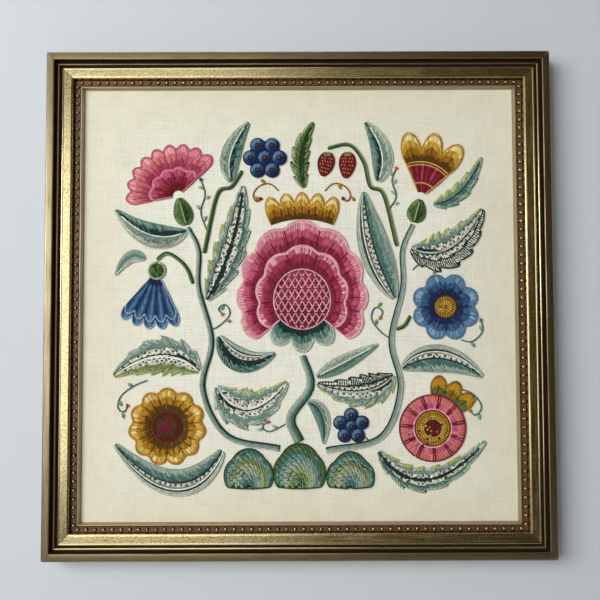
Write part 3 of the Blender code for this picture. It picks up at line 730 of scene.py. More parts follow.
def through(points, t):
    """Point at t, from 0 to 1, on a smooth curve that passes the given points."""
    knots = [Vector(p).to_3d() for p in points]
    knots = [2 * knots[0] - knots[1], *knots, 2 * knots[-1] - knots[-2]]
    spans = len(points) - 1
    span = min(int(t * spans), spans - 1)
    f = t * spans - span
    a, b, c, d = knots[span:span + 4]
    bend = 2 * a - 5 * b + 4 * c - d
    twist = 3 * b - a - 3 * c + d
    return 0.5 * (2 * b + (c - a) * f + bend * f ** 2 + twist * f ** 3)


def arched(points, t):
    """Point at t on the arc from the first point to the last, bent towards the middle one."""
    base, bend, tip = [Vector(p).to_3d() for p in points]
    return base.lerp(bend, t).lerp(bend.lerp(tip, t), t)


def beside(curve, points, t, half, across):
    """Place on a strip along a curve: half its width, and across from right 0 to left 1."""
    run = curve(points, min(t + 0.01, 1)) - curve(points, max(t - 0.01, 0))
    return curve(points, t) + aside(run) * half * (2 * across - 1)


# Places on the motifs, the same as in the solids

def leaf_place(leaf):
    """Function for a place on a leaf: along the midrib from 0 to 1, and across from right 0 to left 1."""
    midrib = (leaf.base, leaf.bend, leaf.tip)

    def place(along, across):
        half = leaf.half * math.sin(math.pi * (0.02 + 0.96 * along) ** 0.85) ** leaf.fullness
        if leaf.teeth:
            half *= 1 - TOOTH_DEPTH * (1 - ((along * leaf.teeth) % 1.0) ** TOOTH_BULGE)
        spot = beside(arched, midrib, along, max(half, NARROWEST), across)
        crown = LEAF_CROWN * math.sin(math.pi * abs(2 * across - 1)) * math.sin(math.pi * along)
        return on_bed(spot, EDGE_THICKNESS + max(crown, 0))

    return place


def stem_place(stem):
    """Function for a place on a stem: along it, and across from right 0 to left 1."""
    def place(along, across):
        half = stem.start_half + (stem.end_half - stem.start_half) * along
        spot = beside(through, stem.points, along, half, across)
        return on_bed(spot, EDGE_THICKNESS + STEM_CROWN * (1 - (2 * across - 1) ** 2))

    return place


def lobe_of(petals, turn):
    """1 in the middle of a petal and 0 between two."""
    return abs(math.sin(math.pi * petals * turn)) if petals > 1 else 1.0


def fan_edge(fan, degrees):
    """Outer radius of a bloom tier in one direction."""
    off = (degrees - fan.axis + 180) % 360 - 180
    lobe = lobe_of(fan.petals, (off + fan.spread) / (2 * fan.spread))
    bulge = fan.extra * max(math.cos(math.radians(off)), 0) ** 2
    return fan.radius + bulge - fan.notch * (1 - lobe ** 0.7)


def fan_place(fan):
    """Function for a place on a bloom tier: round from right 1 to left 0 of its spread, and out."""
    def place(turn, out):
        degrees = fan.axis - fan.spread + 2 * fan.spread * turn
        near = fan.inside
        if isinstance(near, str):
            near = fan_edge(FANS[near], degrees) + TIER_GAP
        radius = near + (fan_edge(fan, degrees) - near) * out
        if fan.inside == 0:
            padding = DISC_CROWN * (1 - out ** 2)
        else:
            padding = PETAL_CROWN * math.sin(math.pi * out) * (0.4 + 0.6 * lobe_of(fan.petals, turn))
        return on_bed(middle_of(fan) + heading(degrees) * radius, EDGE_THICKNESS + padding)

    return place


def middle_of(fan):
    return Vector(fan.centre).to_3d()


def on_disc(fan, spot):
    """How far out on a round tier a spot lies, and the spot raised to the padding."""
    off = spot - middle_of(fan)
    out = off.length / fan_edge(fan, math.degrees(math.atan2(off.y, off.x)))
    return out, on_bed(spot, EDGE_THICKNESS + DISC_CROWN * max(1 - out ** 2, 0))


# Stitches

def evenly(path, pitch):
    """Places on a path from 0 to 1, about one pitch apart."""
    ticks = [i / PATH_SAMPLES for i in range(PATH_SAMPLES + 1)]
    fine = [path(t) for t in ticks]
    reach = [0.0]
    for here, there in zip(fine, fine[1:]):
        reach.append(reach[-1] + (there - here).length)
    count = max(2, round(reach[-1] / pitch))
    return [path(t) for t in np.interp(np.linspace(0, reach[-1], count + 1), reach, ticks)]


def stem_stitch(work, path, shade, width=YARN_WIDTH, rise=0.0):
    """A line of slanting stitches, each lapping the last one by half, like a fine rope."""
    spots = evenly(path, STEM_STEP)
    for here, there in zip(spots, spots[2:]):
        off = aside(there - here) * width * 0.16
        work.stitch(here - off + lift(rise), there + off + lift(rise), shade, width)


def pick(shades, step):
    """The shade at a step from the first to the last."""
    return shades[min(max(int(step), 0), len(shades) - 1)]


def banded(work, shades, jitter=0.35):
    """Chooses a shade by depth, the first inside and the last outside, with ragged borders."""
    return lambda along, depth: pick(shades, depth * len(shades) + work.dice.uniform(-jitter, jitter))


def tipped(work, shades, tip, teeth):
    """The same, with the points of the teeth in a shade of their own."""
    inner = banded(work, shades)

    def choose(along, depth):
        is_point = teeth and depth > 0.62 and (along * teeth) % 1.0 > 0.35
        return tip if is_point else inner(along, depth)

    return choose


def long_and_short(work, place, choose, inner=0.0):
    """Rows of stitches that fan out from the middle and lap each other raggedly."""
    dice = work.dice
    reach = max((place(t, 1.0) - place(t, inner)).length for t in (0.5, 0.0, 0.5 / 9))
    rows = max(1, round(reach / STITCH_LENGTH))
    step = (1.0 - inner) / rows
    for row in range(rows):
        low, high = inner + row * step, inner + (row + 1) * step
        count = len(evenly(lambda t: place(t, (low + high) / 2), ROW_PITCH))
        for i in range(count):
            turn = (i + 0.5 + dice.uniform(-0.15, 0.15)) / count
            near = low - step * dice.uniform(0.05, 0.45) if row else low
            far = high + step * dice.uniform(-0.15, 0.3) if row < rows - 1 else high
            shade = choose(turn, (near + far) / 2)
            work.stitch(place(turn, near), place(turn, min(far, 1.0)), shade)


def slanting_fill(work, place, side, choose, bands=1, inner=0.0):
    """Fishbone rows from the midrib to the edge on one side of a leaf, each leaning towards the tip."""
    length = sum((place((i + 1) / 20, 0.5) - place(i / 20, 0.5)).length for i in range(20))
    pitch = ROW_PITCH / math.sin(LEAF_SLANT) / length

    def lean(along):
        width = (place(along, 0.5 + side / 2) - place(along, 0.5)).length
        return max(width, 1.0) / math.tan(LEAF_SLANT) / length

    foot = -lean(0.25)
    while foot < 1:
        shift = lean(min(max(foot, 0.12), 1.0))

        def run(f):
            return min(max(foot + shift * f, 0), 1)

        def spot(f):
            return place(run(f), 0.5 + side * f / 2)

        nearest, furthest = max(inner, -foot / shift), min(1.0, (1 - foot) / shift)
        if furthest - nearest >= 0.04:
            lengths = (spot(furthest) - spot(nearest)).length / STITCH_LENGTH
            pieces = max(1, round(lengths), min(bands, round(lengths * 2)))
            cuts = [nearest + (furthest - nearest) * i / pieces for i in range(pieces + 1)]
            for i in range(1, pieces):
                cuts[i] += (furthest - nearest) / pieces * work.dice.uniform(-0.3, 0.3)
            for low, high in zip(cuts, cuts[1:]):
                middle = (low + high) / 2
                shade = choose(run(middle), (middle - inner) / (1.0 - inner))
                work.stitch(spot(low), spot(min(high + 0.04, furthest)), shade)
        foot += pitch


def seeding(work, place, shades, reach, sides=(-1, 1)):
    """Pairs of short loose stitches, in turn of each shade, scattered over the core of a leaf."""
    dice = work.dice
    last = len(evenly(lambda t: place(0.05 + 0.87 * t, 0.5), SEED_SPACING)) - 1
    for i in range(last + 1):
        along = 0.05 + 0.87 * i / last
        half = (place(along, 1.0) - place(along, 0.5)).length * reach
        steps = int(half / SEED_SPACING + 0.3)
        for side in sides:
            for j in range(1, steps + 1):
                share = (j - 0.25 + dice.uniform(-0.2, 0.2)) / (steps + 0.3) * reach
                spot = at_linen(place(min(along + dice.uniform(-0.01, 0.01), 1), 0.5 + side * share / 2))
                ray = heading(dice.choice((20, 65, 110, 155)) + dice.uniform(-12, 12)) * SEED_LENGTH / 2
                off = aside(ray) * SEED_WIDTH * 0.6
                for middle in (spot + off, spot - off):
                    work.stitch(middle - ray, middle + ray, shades[(i + j) % len(shades)], width=SEED_WIDTH)


def satin_disc(work, centre, radius, height, shades):
    """A small round berry: stitches from its eye outwards, paler on the side of the light."""
    count = round(math.tau * radius * 0.8 / ROW_PITCH)
    eye = radius * 0.3
    for i in range(count):
        ray = heading(360 * (i + work.dice.uniform(-0.2, 0.2)) / count)
        bright = (ray.dot(BERRY_LIGHT) + 1) / 2 * len(shades) + work.dice.uniform(-0.5, 0.5)
        work.stitch(at(centre + ray * eye, height), at(centre + ray * (radius - 0.3), STITCH_BACK + 0.4),
                    pick(shades, bright), arch=0.35)
    for i in range(6):
        work.knot(at(centre + heading(60 * i) * eye * 0.75, height + 0.25), "brown", 0.75)
    work.knot(at(centre, height + 0.6), "gold", 0.7)


def outline(work, place, shade, spread=180, inner=0.0):
    """Stem stitch round a tier's outer edge, and down its two sides if it isn't a full ring."""
    stem_stitch(work, lambda t: place(t, 1.0), shade, rise=0.15)
    if spread < 180:
        for turn in (0.0, 1.0):
            stem_stitch(work, lambda t: place(turn, inner + (1 - inner) * t), shade, rise=0.2)


# Ways of working a leaf

def shaded_border(work, place, side, shades, tip, teeth):
    """Long and short bands along one edge of a leaf, the teeth's points in a shade of their own."""
    edges = sorted((0.5 + side / 2, 0.5 + side * CORE / 2))
    work.bed(place, shades[0], 5, 61, *edges)
    slanting_fill(work, place, side, tipped(work, shades, tip, teeth), 3, inner=CORE)


def dark_wedge(work, place, side):
    """A wedge of dark satin stitch beside the rib, widest near the leaf's base."""
    last = len(evenly(lambda t: place(0.05 + 0.33 * t, 0.5), ROW_PITCH)) - 1
    for i in range(last + 1):
        t = i / last
        far = 0.5 + side * CORE * 0.8 * (1 - t) ** 0.6 / 2
        work.stitch(at_linen(place(0.05 + 0.33 * t, 0.5)), at_linen(place(0.09 + 0.33 * t, far)), "teal_dark",
                    arch=0.3)


def rib_lines(work, place, rib):
    """Two lines of the rib's shade side by side, and a dark one."""
    for across, shade in ((0.455, "teal_dark"), (0.49, rib), (0.525, rib)):
        stem_stitch(work, lambda t: at_linen(place(0.95 * t, across)), shade, rise=0.15)


def work_open_leaf(work, place, leaf):
    """Two bands of shading round a seeded core, with pale side veins."""
    for side, shades, tip in ((1, leaf.left, leaf.rim), (-1, leaf.right, leaf.right[-1])):
        shaded_border(work, place, side, shades, tip, leaf.teeth)
        for vein in range(1, 5):
            start = vein / 5 - 0.08
            stem_stitch(work, lambda t: at_linen(place(start + 0.11 * t, 0.5 + side * CORE * t / 2)), "cream")
    seeding(work, place, ("teal_dark", "cream"), CORE - 0.04)
    dark_wedge(work, place, -1)
    rib_lines(work, place, leaf.rib)


def work_barred_leaf(work, place, leaf):
    """One half shaded round a seeded core, the other a pale band crossed by dark bars like a ladder."""
    pale, dark = leaf.right[0], leaf.rib
    shaded_border(work, place, 1, leaf.left, leaf.rim, leaf.teeth)
    work.bed(place, pale, 4, 61, 0.0, 0.5 - CORE / 2)
    slanting_fill(work, place, -1, lambda along, depth: pale, 1, inner=CORE)
    bars = len(evenly(lambda t: place(t, 0.1), 2.5))
    for bar in range(2, bars - 1):
        near, far = place(bar / bars, 0.5 - CORE * 0.46), place(bar / bars + 0.012, 0.02)
        work.stitch(near + lift(0.55), far + lift(0.55), dark, width=1.05)
    for across in (0.0, 0.5 - CORE / 2):
        stem_stitch(work, lambda t: place(t, across), dark, rise=0.35)
    seeding(work, place, (dark, "cream"), CORE - 0.04)
    dark_wedge(work, place, 1)
    rib_lines(work, place, "sage_pale")


def work_split_leaf(work, place, leaf):
    """One half filled solid, the other seeded inside lines that follow its edge."""
    left, right = leaf.left, leaf.right
    work.bed(place, right[0], 6, 40, 0.0, 0.5)
    slanting_fill(work, place, -1, banded(work, right), 2)
    work.bed(place, left[-1], 4, 40, 0.8, 1.0)
    lines = ((0.98, leaf.rim), (0.925, left[-1]), (0.865, left[-1]), (0.8, left[0]), (0.74, "cream"))
    for across, shade in lines:
        stem_stitch(work, lambda t: place(t, across), shade, rise=0.2)
    stem_stitch(work, lambda t: at_linen(place(0.03 + 0.93 * t, 0.69)), left[1])
    seeding(work, place, (leaf.rib, "cream"), 0.36, (1,))
    stem_stitch(work, lambda t: place(0.98 * t, 0.5), leaf.rib, rise=0.3)
    stem_stitch(work, lambda t: place(t, 0.0), right[-1], width=1.1, rise=0.1)


def work_solid_leaf(work, place, leaf):
    """Both halves filled, the rib laid on top."""
    work.bed(place, leaf.right[0], 9, 51)
    slanting_fill(work, place, 1, tipped(work, leaf.left, leaf.rim, leaf.teeth), 2)
    slanting_fill(work, place, -1, banded(work, leaf.right), 2)
    stem_stitch(work, lambda t: place(0.06 + 0.86 * t, 0.5), leaf.rib, rise=0.35)
    if not leaf.teeth:
        for edge, shade in ((0.0, leaf.right[-1]), (1.0, leaf.left[-1])):
            stem_stitch(work, lambda t: place(t, edge), shade, width=1.1, rise=0.1)


def work_strawberry(work, place, leaf):
    """A crimson berry with yellow seeds and a small green cap."""
    work_solid_leaf(work, place, leaf)
    for r in range(1, 7):
        for c in range(-2, 3):
            across = 0.5 + 0.17 * (c + (r % 2) / 2)
            if 0.08 < across < 0.92:
                spot = place(r / 7.2, across) + lift(0.5)
                work.stitch(spot - heading(90) * 0.7, spot + heading(90) * 0.7, "yellow", width=1.0)
    crown = place(0.0, 0.5)
    for degrees in (200, 235, 270, 305, 340):
        for rise, shade in ((0.4, "green"), (0.7, "olive")):
            foot = crown + lift(rise)
            work.stitch(foot, foot + heading(degrees) * (6.0 - rise * 2), shade)


# Ways of working a stem or a bloom

def work_stem(work, place, stem):
    """Lines of stem stitch side by side, from light to dark across the stem."""
    lines = max(2, round((stem.start_half + stem.end_half) / ROW_PITCH))
    work.bed(place, stem.shades[-1], 4, 50, 0.12, 0.88)
    for line in range(lines):
        across = (line + 0.5) / lines
        shade = stem.shades[-1 - int(across * len(stem.shades))]
        stem_stitch(work, lambda t: place(t, across), shade, rise=0.1)


def work_petals(work, place, fan):
    """Petals shaded from deep to pale, darker along their sides, with a seam between each two."""
    petals, shades = fan.petals, fan.shades
    inner = 0.08 if fan.inside == 0 else 0.0

    def choose(turn, out):
        shadow = 1.3 * (1 - lobe_of(petals, turn)) ** 2
        return pick(shades, out * len(shades) - shadow + work.dice.uniform(-0.3, 0.3))

    work.bed(place, shades[0], 7, 24 * max(petals, 2) // 2, inner, 1.0)
    long_and_short(work, place, choose, inner)
    outline(work, place, fan.rim, fan.spread, inner)
    stem_stitch(work, lambda t: place(t, 0.93), fan.rim, rise=0.2)
    if petals > 1:
        for petal in range(0 if fan.spread == 180 else 1, petals):
            stem_stitch(work, lambda t: place(petal / petals, 0.12 + 0.86 * t), fan.seam, rise=0.3)
        for petal in range(petals):
            stem_stitch(work, lambda t: place((petal + 0.5) / petals, 0.1 + 0.42 * t), fan.seam, width=1.1,
                        rise=0.35)


def work_stripes(work, place, fan):
    """Stripes that run out from the middle."""
    shades = fan.shades
    stripes = (5 if fan.petals > 1 else 3) * len(shades)

    def choose(turn, out):
        if out < 0.12:
            return fan.seam
        return shades[int(turn * stripes * 0.999 + work.dice.uniform(-0.2, 0.2)) % len(shades)]

    work.bed(place, shades[0], 7, 60)
    long_and_short(work, place, choose)
    outline(work, place, fan.rim, fan.spread)
    for out in (0.3, 0.9) if fan.petals == 1 else (0.86,):
        stem_stitch(work, lambda t: place(t, out), fan.rim, rise=0.35)


def work_segments(work, place, fan):
    """A ring shaded outwards and parted by dark rays."""
    rays, shades = 11, fan.shades

    def choose(turn, out):
        nearness = abs((turn * rays) % 1 - 0.5) * 2
        return pick(shades, out * len(shades) + (0.8 - 1.4 * nearness ** 3) + work.dice.uniform(-0.4, 0.4))

    work.bed(place, shades[0], 6, 60)
    long_and_short(work, place, choose)
    for ray in range(rays):
        for offset in (-0.006, 0.006):
            stem_stitch(work, lambda t: place(ray / rays + offset, t), fan.seam, rise=0.3)
    outline(work, place, fan.rim)
    stem_stitch(work, lambda t: place(t, 0.06), "pink_pale", rise=0.4)


def work_trellis(work, place, fan):
    """Satin stitch under a laid lattice, tied down at each crossing."""
    shades, centre, radius = fan.shades, middle_of(fan), fan.radius + fan.extra
    work.bed(place, shades[0], 7, 60, 0.03, 1.0)
    level = -radius
    while level < radius:
        cut = -radius + work.dice.uniform(0, 5)
        while cut < radius:
            out_here, here = on_disc(fan, centre + Vector((cut, level, 0)))
            out_there, there = on_disc(fan, centre + Vector((cut + 6.5, level, 0)))
            if out_here < 0.99 and out_there < 1.02:
                shade = shades[0] if level < -2 + work.dice.uniform(-3, 3) else shades[-1]
                work.stitch(here, there, shade)
            cut += 6.0
        level += ROW_PITCH
    count = int(radius / LATTICE_PITCH) + 1
    for degrees in (60, 120):
        ahead = heading(degrees)
        for line in range(-count, count + 1):
            for part in range(-count * 2, count * 2):
                foot = centre + (aside(ahead) * line + ahead * part * 0.6) * LATTICE_PITCH
                out_here, here = on_disc(fan, foot)
                out_there, there = on_disc(fan, foot + ahead * LATTICE_PITCH * 0.68)
                if max(out_here, out_there) < 0.98:
                    work.stitch(here + lift(0.75), there + lift(0.75), fan.seam, width=1.15)
    # The lines cross where a whole number of steps is taken along both of them
    step_right, step_up = LATTICE_PITCH / math.sin(math.radians(60)) / 2, LATTICE_PITCH / 2
    for a in range(-count * 2, count * 2 + 1):
        for b in range(-count * 2, count * 2 + 1):
            out, spot = on_disc(fan, centre + Vector(((a - b) * step_right, (a + b) * step_up, 0)))
            if out < 0.93:
                off = Vector((0.9, 0, 0))
                work.stitch(spot + lift(1.3) - off, spot + lift(1.3) + off, "crimson", width=1.0)
    outline(work, place, fan.rim)
    stem_stitch(work, lambda t: place(t, 0.95), shades[0], rise=0.3)


def work_knots(work, place, fan):
    """French knots packed round and round on a dark ground."""
    work.bed(place, fan.rim, 5, 40, 0.04, 1.0)
    ring, radius = 0, fan.radius - 1.4
    while radius > 0.6:
        count = max(1, round(math.tau * radius / (KNOT_RADIUS * 2.05)))
        for i in range(count):
            _, spot = on_disc(fan, middle_of(fan) + heading(360 * (i + ring / 2) / count) * radius)
            shade = pick(fan.shades, ring // 2)
            if work.dice.random() < 0.15:
                shade = work.dice.choice(fan.shades)
            work.knot(spot + lift(0.35), shade)
        radius -= KNOT_RADIUS * 1.85
        ring += 1
    outline(work, place, fan.rim)


def work_berries(work, place, fan):
    """A ring of round berries about a middle one."""
    work.bed(place, fan.rim, 5, 60, 0.04, 1.0)
    size = fan.radius * BERRY_RING * math.sin(math.pi / fan.petals)
    for berry in range(fan.petals):
        ray = heading(fan.axis + 180 + 360 * (berry + 0.5) / fan.petals)
        middle = middle_of(fan) + ray * fan.radius * (BERRY_RING - 0.02)
        ring = [middle + heading(15 * i) * size for i in range(25)]
        satin_disc(work, middle, size, STITCH_BACK + BERRY_DOME * 0.8, fan.shades)
        stem_stitch(work, lambda t: at(through(ring, t), STITCH_BACK + 0.7), fan.rim, width=1.1)
    satin_disc(work, middle_of(fan), fan.radius * 0.34, STITCH_BACK + BERRY_DOME, fan.shades)


def work_mound(work, place, fan):
    """Bands of brick-like stitches that follow the mound's top."""
    shades = fan.shades
    work.bed(place, "green_dark", 8, 40, 0.06, 1.0)
    rows = int((place(0.5, 1.0) - place(0.5, 0.0)).length / ROW_PITCH)
    for i in range(1, rows):
        out = i / rows
        spots = evenly(lambda t: place(t, out), 2.4)
        shade = shades[int(out * len(shades) * 0.999)]
        for k in range(i % 2, len(spots) - 2, 2):
            tint = shade if work.dice.random() < 0.85 else shades[work.dice.randrange(len(shades))]
            work.stitch(spots[k], spots[k + 2], tint)
    outline(work, place, fan.rim, fan.spread, 0.1)


WAYS = {
    "open": work_open_leaf, "barred": work_barred_leaf, "split": work_split_leaf, "solid": work_solid_leaf,
    "berry": work_strawberry, "petals": work_petals, "stripes": work_stripes, "segments": work_segments,
    "trellis": work_trellis, "knots": work_knots, "berries": work_berries, "mound": work_mound,
}


def add_stitching(wools):
    """Works each motif of the tables in place of its plain solid."""
    slots = {sub["node"]: sub["material_slot"] for sub in frame["record"]["subparts"]}
    for table, place_on in ((STEMS, stem_place), (LEAVES, leaf_place), (FANS, fan_place)):
        for name, row in table.items():
            work = Needlework("worked_" + name)
            way = work_stem if table is STEMS else WAYS[row.way]
            way(work, place_on(row), row)
            work.make(wools, slots[name], [name])


def add_tendrils(wools):
    """Single lines of stem stitch with small leaflets and a knot at the tip."""
    work = Needlework("tendrils")
    for points, line, leaflets, leaf, tip in TENDRILS:
        def path(t):
            return at(through(points, t), LINEN_FRONT + 0.25)

        stem_stitch(work, path, line)
        for leaflet in range(leaflets):
            t = (leaflet + 0.8) / (leaflets + 0.8)
            side = 1 if leaflet % 2 else -1
            run = path(min(t + 0.02, 1)) - path(t - 0.02)
            ray = heading(math.degrees(math.atan2(run.y, run.x)) + side * 52)
            for lean in (-0.5, 0.0, 0.5):
                off = aside(ray) * lean
                end = path(t) + ray * (6.4 - 3.0 * abs(lean)) + off * 2.2
                work.stitch(path(t) + off * 0.8 + ray * 0.7, end, leaf, arch=0.4)
        for degrees in (0, 120, 240):
            work.knot(at(path(1.0) + heading(degrees), LINEN_FRONT + 0.5), tip)
    work.make(wools, "wool_green")


# Linen

def linen_height(u, v):
    """The front of the cloth: stretched, with slight ripples that die out at the frame."""
    edge = LINEN_SIDE / 2 - max(abs(u), abs(v))
    ease = min(max((edge - FLAT_RIM) / EASE_WIDTH, 0.0), 1.0)
    wave = noise.noise(Vector((u / RIPPLE_LENGTH, v / RIPPLE_LENGTH, 3.1)))
    small = noise.noise(Vector((u / SMALL_RIPPLES[0], v / SMALL_RIPPLES[1], 8.4)))
    return LINEN_FRONT - ease * (LINEN_SAG + LINEN_RIPPLE * (0.7 * wave + 0.3 * small))


def add_linen():
    side = LINEN_SIDE / 2
    ticks = [-side + LINEN_SIDE * i / LINEN_STEPS for i in range(LINEN_STEPS + 1)]
    front = np.array([(u, v, linen_height(u, v)) for v in ticks for u in ticks])
    back = front.copy()
    back[:, 2] -= LINEN_THICKNESS
    points, faces = closed_slab(front, back, len(ticks), len(ticks))
    linen = add_piece("stretched_linen", points, faces, [linen_weave()], "linen", ["linen"])
    linen.data.set_sharp_from_angle(angle=math.radians(50))


# Frame

def arc(middle, radius, start, end, steps):
    """Points of a circular arc, angles in degrees."""
    rays = [heading(start + (end - start) * i / steps) * radius for i in range(steps + 1)]
    return [(middle[0] + ray.x, middle[1] + ray.y) for ray in rays]


def moulding_section():
    """Outline of the moulding: distance in from the outer edge, height from the wall, and its finish."""
    front = RAIL_DEPTH
    quirk = LINER_HEIGHT - QUIRK_DEPTH
    nose = NOSE_START + NOSE_ROUND
    scoop_low = SCOOP_HEIGHT - SCOOP_DROP
    groove = GROOVE_HEIGHT - 0.3
    # The band is flat, and its extra points near its ends keep the shading flat up to the bends
    band_start = Vector((nose + GRAINED_START, SCOOP_HEIGHT - GRAINED_START_DROP))
    band_end = Vector((SCOOP_END - GRAINED_END, SCOOP_HEIGHT - SCOOP_DROP * GRAINED_END_SHARE))
    band = [tuple(band_start.lerp(band_end, share)) for share in (0.0, 0.06, 0.94, 1.0)]
    strips = (
        ("toned", [(0, 0), (0, 10)] + arc((OUTER_ROUND, front - OUTER_ROUND), OUTER_ROUND, 180, 90, 8)),
        ("toned", arc((BAND_WIDTH - BAND_ROUND, front - BAND_ROUND), BAND_ROUND, 90, 0, 8)),
        ("bole", [(BAND_WIDTH + 0.4, GROOVE_HEIGHT + 0.2), (RIDGE_MIDDLE - 1.0, GROOVE_HEIGHT)]),
        ("ridge", arc((RIDGE_MIDDLE, RIDGE_HEIGHT - RIDGE_ROUND), RIDGE_ROUND, 180, 0, 10)),
        ("bole", [(RIDGE_MIDDLE + 0.9, groove), (NOSE_START - 0.2, groove)]),
        ("burnished", arc((nose, SCOOP_HEIGHT - NOSE_ROUND), NOSE_ROUND, 180, 56, 9)),
        ("grained", band),
        ("burnished", arc((SCOOP_END - SCOOP_ROUND, scoop_low - SCOOP_ROUND), SCOOP_ROUND, 84, 0, 5)),
        ("bole", [(SCOOP_END + 0.3, quirk), (LINER_START, quirk)]),
        ("bronze", [(LINER_START, LINER_HEIGHT), (LINER_END, LINER_HEIGHT)]),
        ("bole", [(LINER_END, quirk), (LIP_TOP_START - 0.1, quirk)]),
        ("lip", [(LIP_TOP_START, LINER_HEIGHT - 0.3), (LIP_TOP_START + 0.2, LINER_HEIGHT - 0.08),
                 (LIP_TOP_START + 0.5, LINER_HEIGHT), (LIP_TOP_END - 0.4, LINER_HEIGHT),
                 (LIP_TOP_END - 0.1, LINER_HEIGHT - 0.12), (LIP_TOP_END, LINER_HEIGHT - 0.4),
                 (RAIL_WIDTH, LIP_EDGE_HEIGHT)]),
        ("wood", [(RAIL_WIDTH, LEDGE_HEIGHT), (RABBET, LEDGE_HEIGHT), (RABBET, 0)]),
    )
    return [(inward, height, finish) for finish, points in strips for inward, height in points]


def moulding_finishes():
    return {
        "toned": gilding("toned_gilt", BAND_GILT, BAND_SHADE, 0.3, 0.3, 0.03, streaking=0.75),
        "burnished": gilding("burnished_gilt", GILT, GILT_SHADE, 0.15, 0.0, 0.0, streaking=0.1),
        "grained": gilding("grained_gilt", GILT, GILT_SHADE, 0.22, 0.6, 0.0, streaking=0.2),
        "bole": painted_bole(),
        "bronze": gilding("bronzed_liner", BRONZE, BRONZE_SHADE, 0.4, 0.3, 0.03, metallic=0.4),
        "beads": lacquered_beads(),
        "lip": gilding("rubbed_gilt_lip", LIP_GILT, LIP_SHADE, 0.4, 0.2, 0.03, metallic=0.6),
        "wood": raw_wood(),
    }


def add_rails(finishes):
    """The same mitred rail on each side, its section drawn out in many stations with a slight waver."""
    names = list(finishes)
    for quarter, side in enumerate(SIDES):
        # The ridge takes its side's finish: dull and darker at the top and left, as painted shade
        section = [(inward, height, RIDGE_FINISH_WITH_PAINTED_SHADE[side] if finish == "ridge" else finish)
                   for inward, height, finish in moulding_section()]
        turn = Matrix.Rotation(math.radians(90 * quarter), 3, "Z")
        points, rail = [], []
        for station in range(RAIL_STATIONS + 1):
            share = 2 * station / RAIL_STATIONS - 1
            for inward, height, _ in section:
                across = HALF - inward
                run = share * (across - MITRE_GAP * math.sqrt(0.5))
                shows = HAND_WAVER if height > LEDGE_HEIGHT and inward > 0 else 0.0
                waver = shows * noise.noise(Vector((run / WAVER_LENGTH, inward / WAVER_WIDTH, quarter * 7.7)))
                points.append(turn @ Vector((run, across, height - shows + waver)))
                rail.append((run + quarter * RAIL_TEXTURE_STEP, inward, height))
        faces = tube_faces(RAIL_STATIONS + 1, len(section))
        face_finish = [names.index(finish) for *_, finish in section] * RAIL_STATIONS
        face_finish += [names.index("wood")] * 2
        piece = add_piece(f"gilded_rail_{side}", points, faces, list(finishes.values()), "gilt",
                          [f"rail_{side}"], face_finish, {"rail": rail})
        piece.data.set_sharp_from_angle(angle=math.radians(35))


def add_beads(lacquered, bole):
    """Small turned beads along the liner, not quite even, with dark bole over the lower rings of each: bole
    in the crevice at its foot, and painted shade that rings its brighter top.
    """
    line = HALF - BEAD_LINE
    count = round(2 * line / BEAD_PITCH)
    dice = random.Random("beads")
    for quarter, side in enumerate(SIDES):
        turn = Matrix.Rotation(math.radians(90 * quarter), 3, "Z")
        points, rail, faces, finish = [], [], [], []
        for bead in range(count):
            run = -line + 2 * line * (bead + 0.5) / count + dice.uniform(-0.15, 0.15)
            radius = BEAD_RADIUS * dice.uniform(0.96, 1.04)
            faces += tube_faces(BEAD_RINGS, BEAD_SIDES, len(points))
            for ring in range(BEAD_RINGS):
                rise = math.radians(-12 + 96 * ring / (BEAD_RINGS - 1))
                middle = Vector((run, line, LINER_HEIGHT - BEAD_SINK + radius * math.sin(rise)))
                for k in range(BEAD_SIDES):
                    spot = middle + heading(360 * k / BEAD_SIDES) * radius * math.cos(rise)
                    points.append(turn @ spot)
                    rail.append((spot.x + quarter * RAIL_TEXTURE_STEP, HALF - spot.y, spot.z))
            # The lower rings take the dark bole: bole at the foot, and painted shade, a dark ring round each
            # bead's top
            finish += [1] * BEAD_BOLE_AND_SHADE_RINGS * BEAD_SIDES
            finish += [0] * (BEAD_RINGS - 1 - BEAD_BOLE_AND_SHADE_RINGS) * BEAD_SIDES + [1, 0]
        add_piece(f"liner_beads_{side}", points, faces, [lacquered, bole], "gilt",
                  face_materials=finish, values={"rail": rail})


# Camera, light and stage

def add_camera():
    data = bpy.data.cameras.new("camera")
    data.lens = CAMERA_LENS
    data.sensor_width = CAMERA_SENSOR
    data.clip_start, data.clip_end = 0.01, 50.0
    camera = link(bpy.data.objects.new("camera", data))
    pitch, yaw, roll = (math.radians(turn) for turn in CAMERA_TURNS)
    turns = Matrix.Rotation(yaw, 4, "Y") @ Matrix.Rotation(pitch, 4, "X") @ Matrix.Rotation(roll, 4, "Z")
    place = Matrix.Translation(to_world([CAMERA_PLACE])[0])
    camera.matrix_world = place @ Matrix.Rotation(math.radians(90), 4, "X") @ turns
    bpy.context.scene.camera = camera


def add_lights():
    """A window high on the left, for the cloth and the wall, and lights that only the metal mirrors."""
    middle = Vector((0.0, 0.0, -CENTRE_BELOW_ORIGIN * MM))
    for name, place, size, power, colour, on_cloth, on_metal in LIGHTS:
        data = bpy.data.lights.new(name, "AREA")
        data.shape = "RECTANGLE"
        data.size, data.size_y = size
        data.energy = power
        data.color = colour
        light = link(bpy.data.objects.new(name, data))
        light.location = place
        light.rotation_euler = (middle - Vector(place)).to_track_quat("-Z", "Y").to_euler()
        light.visible_diffuse = on_cloth
        light.visible_glossy = on_metal


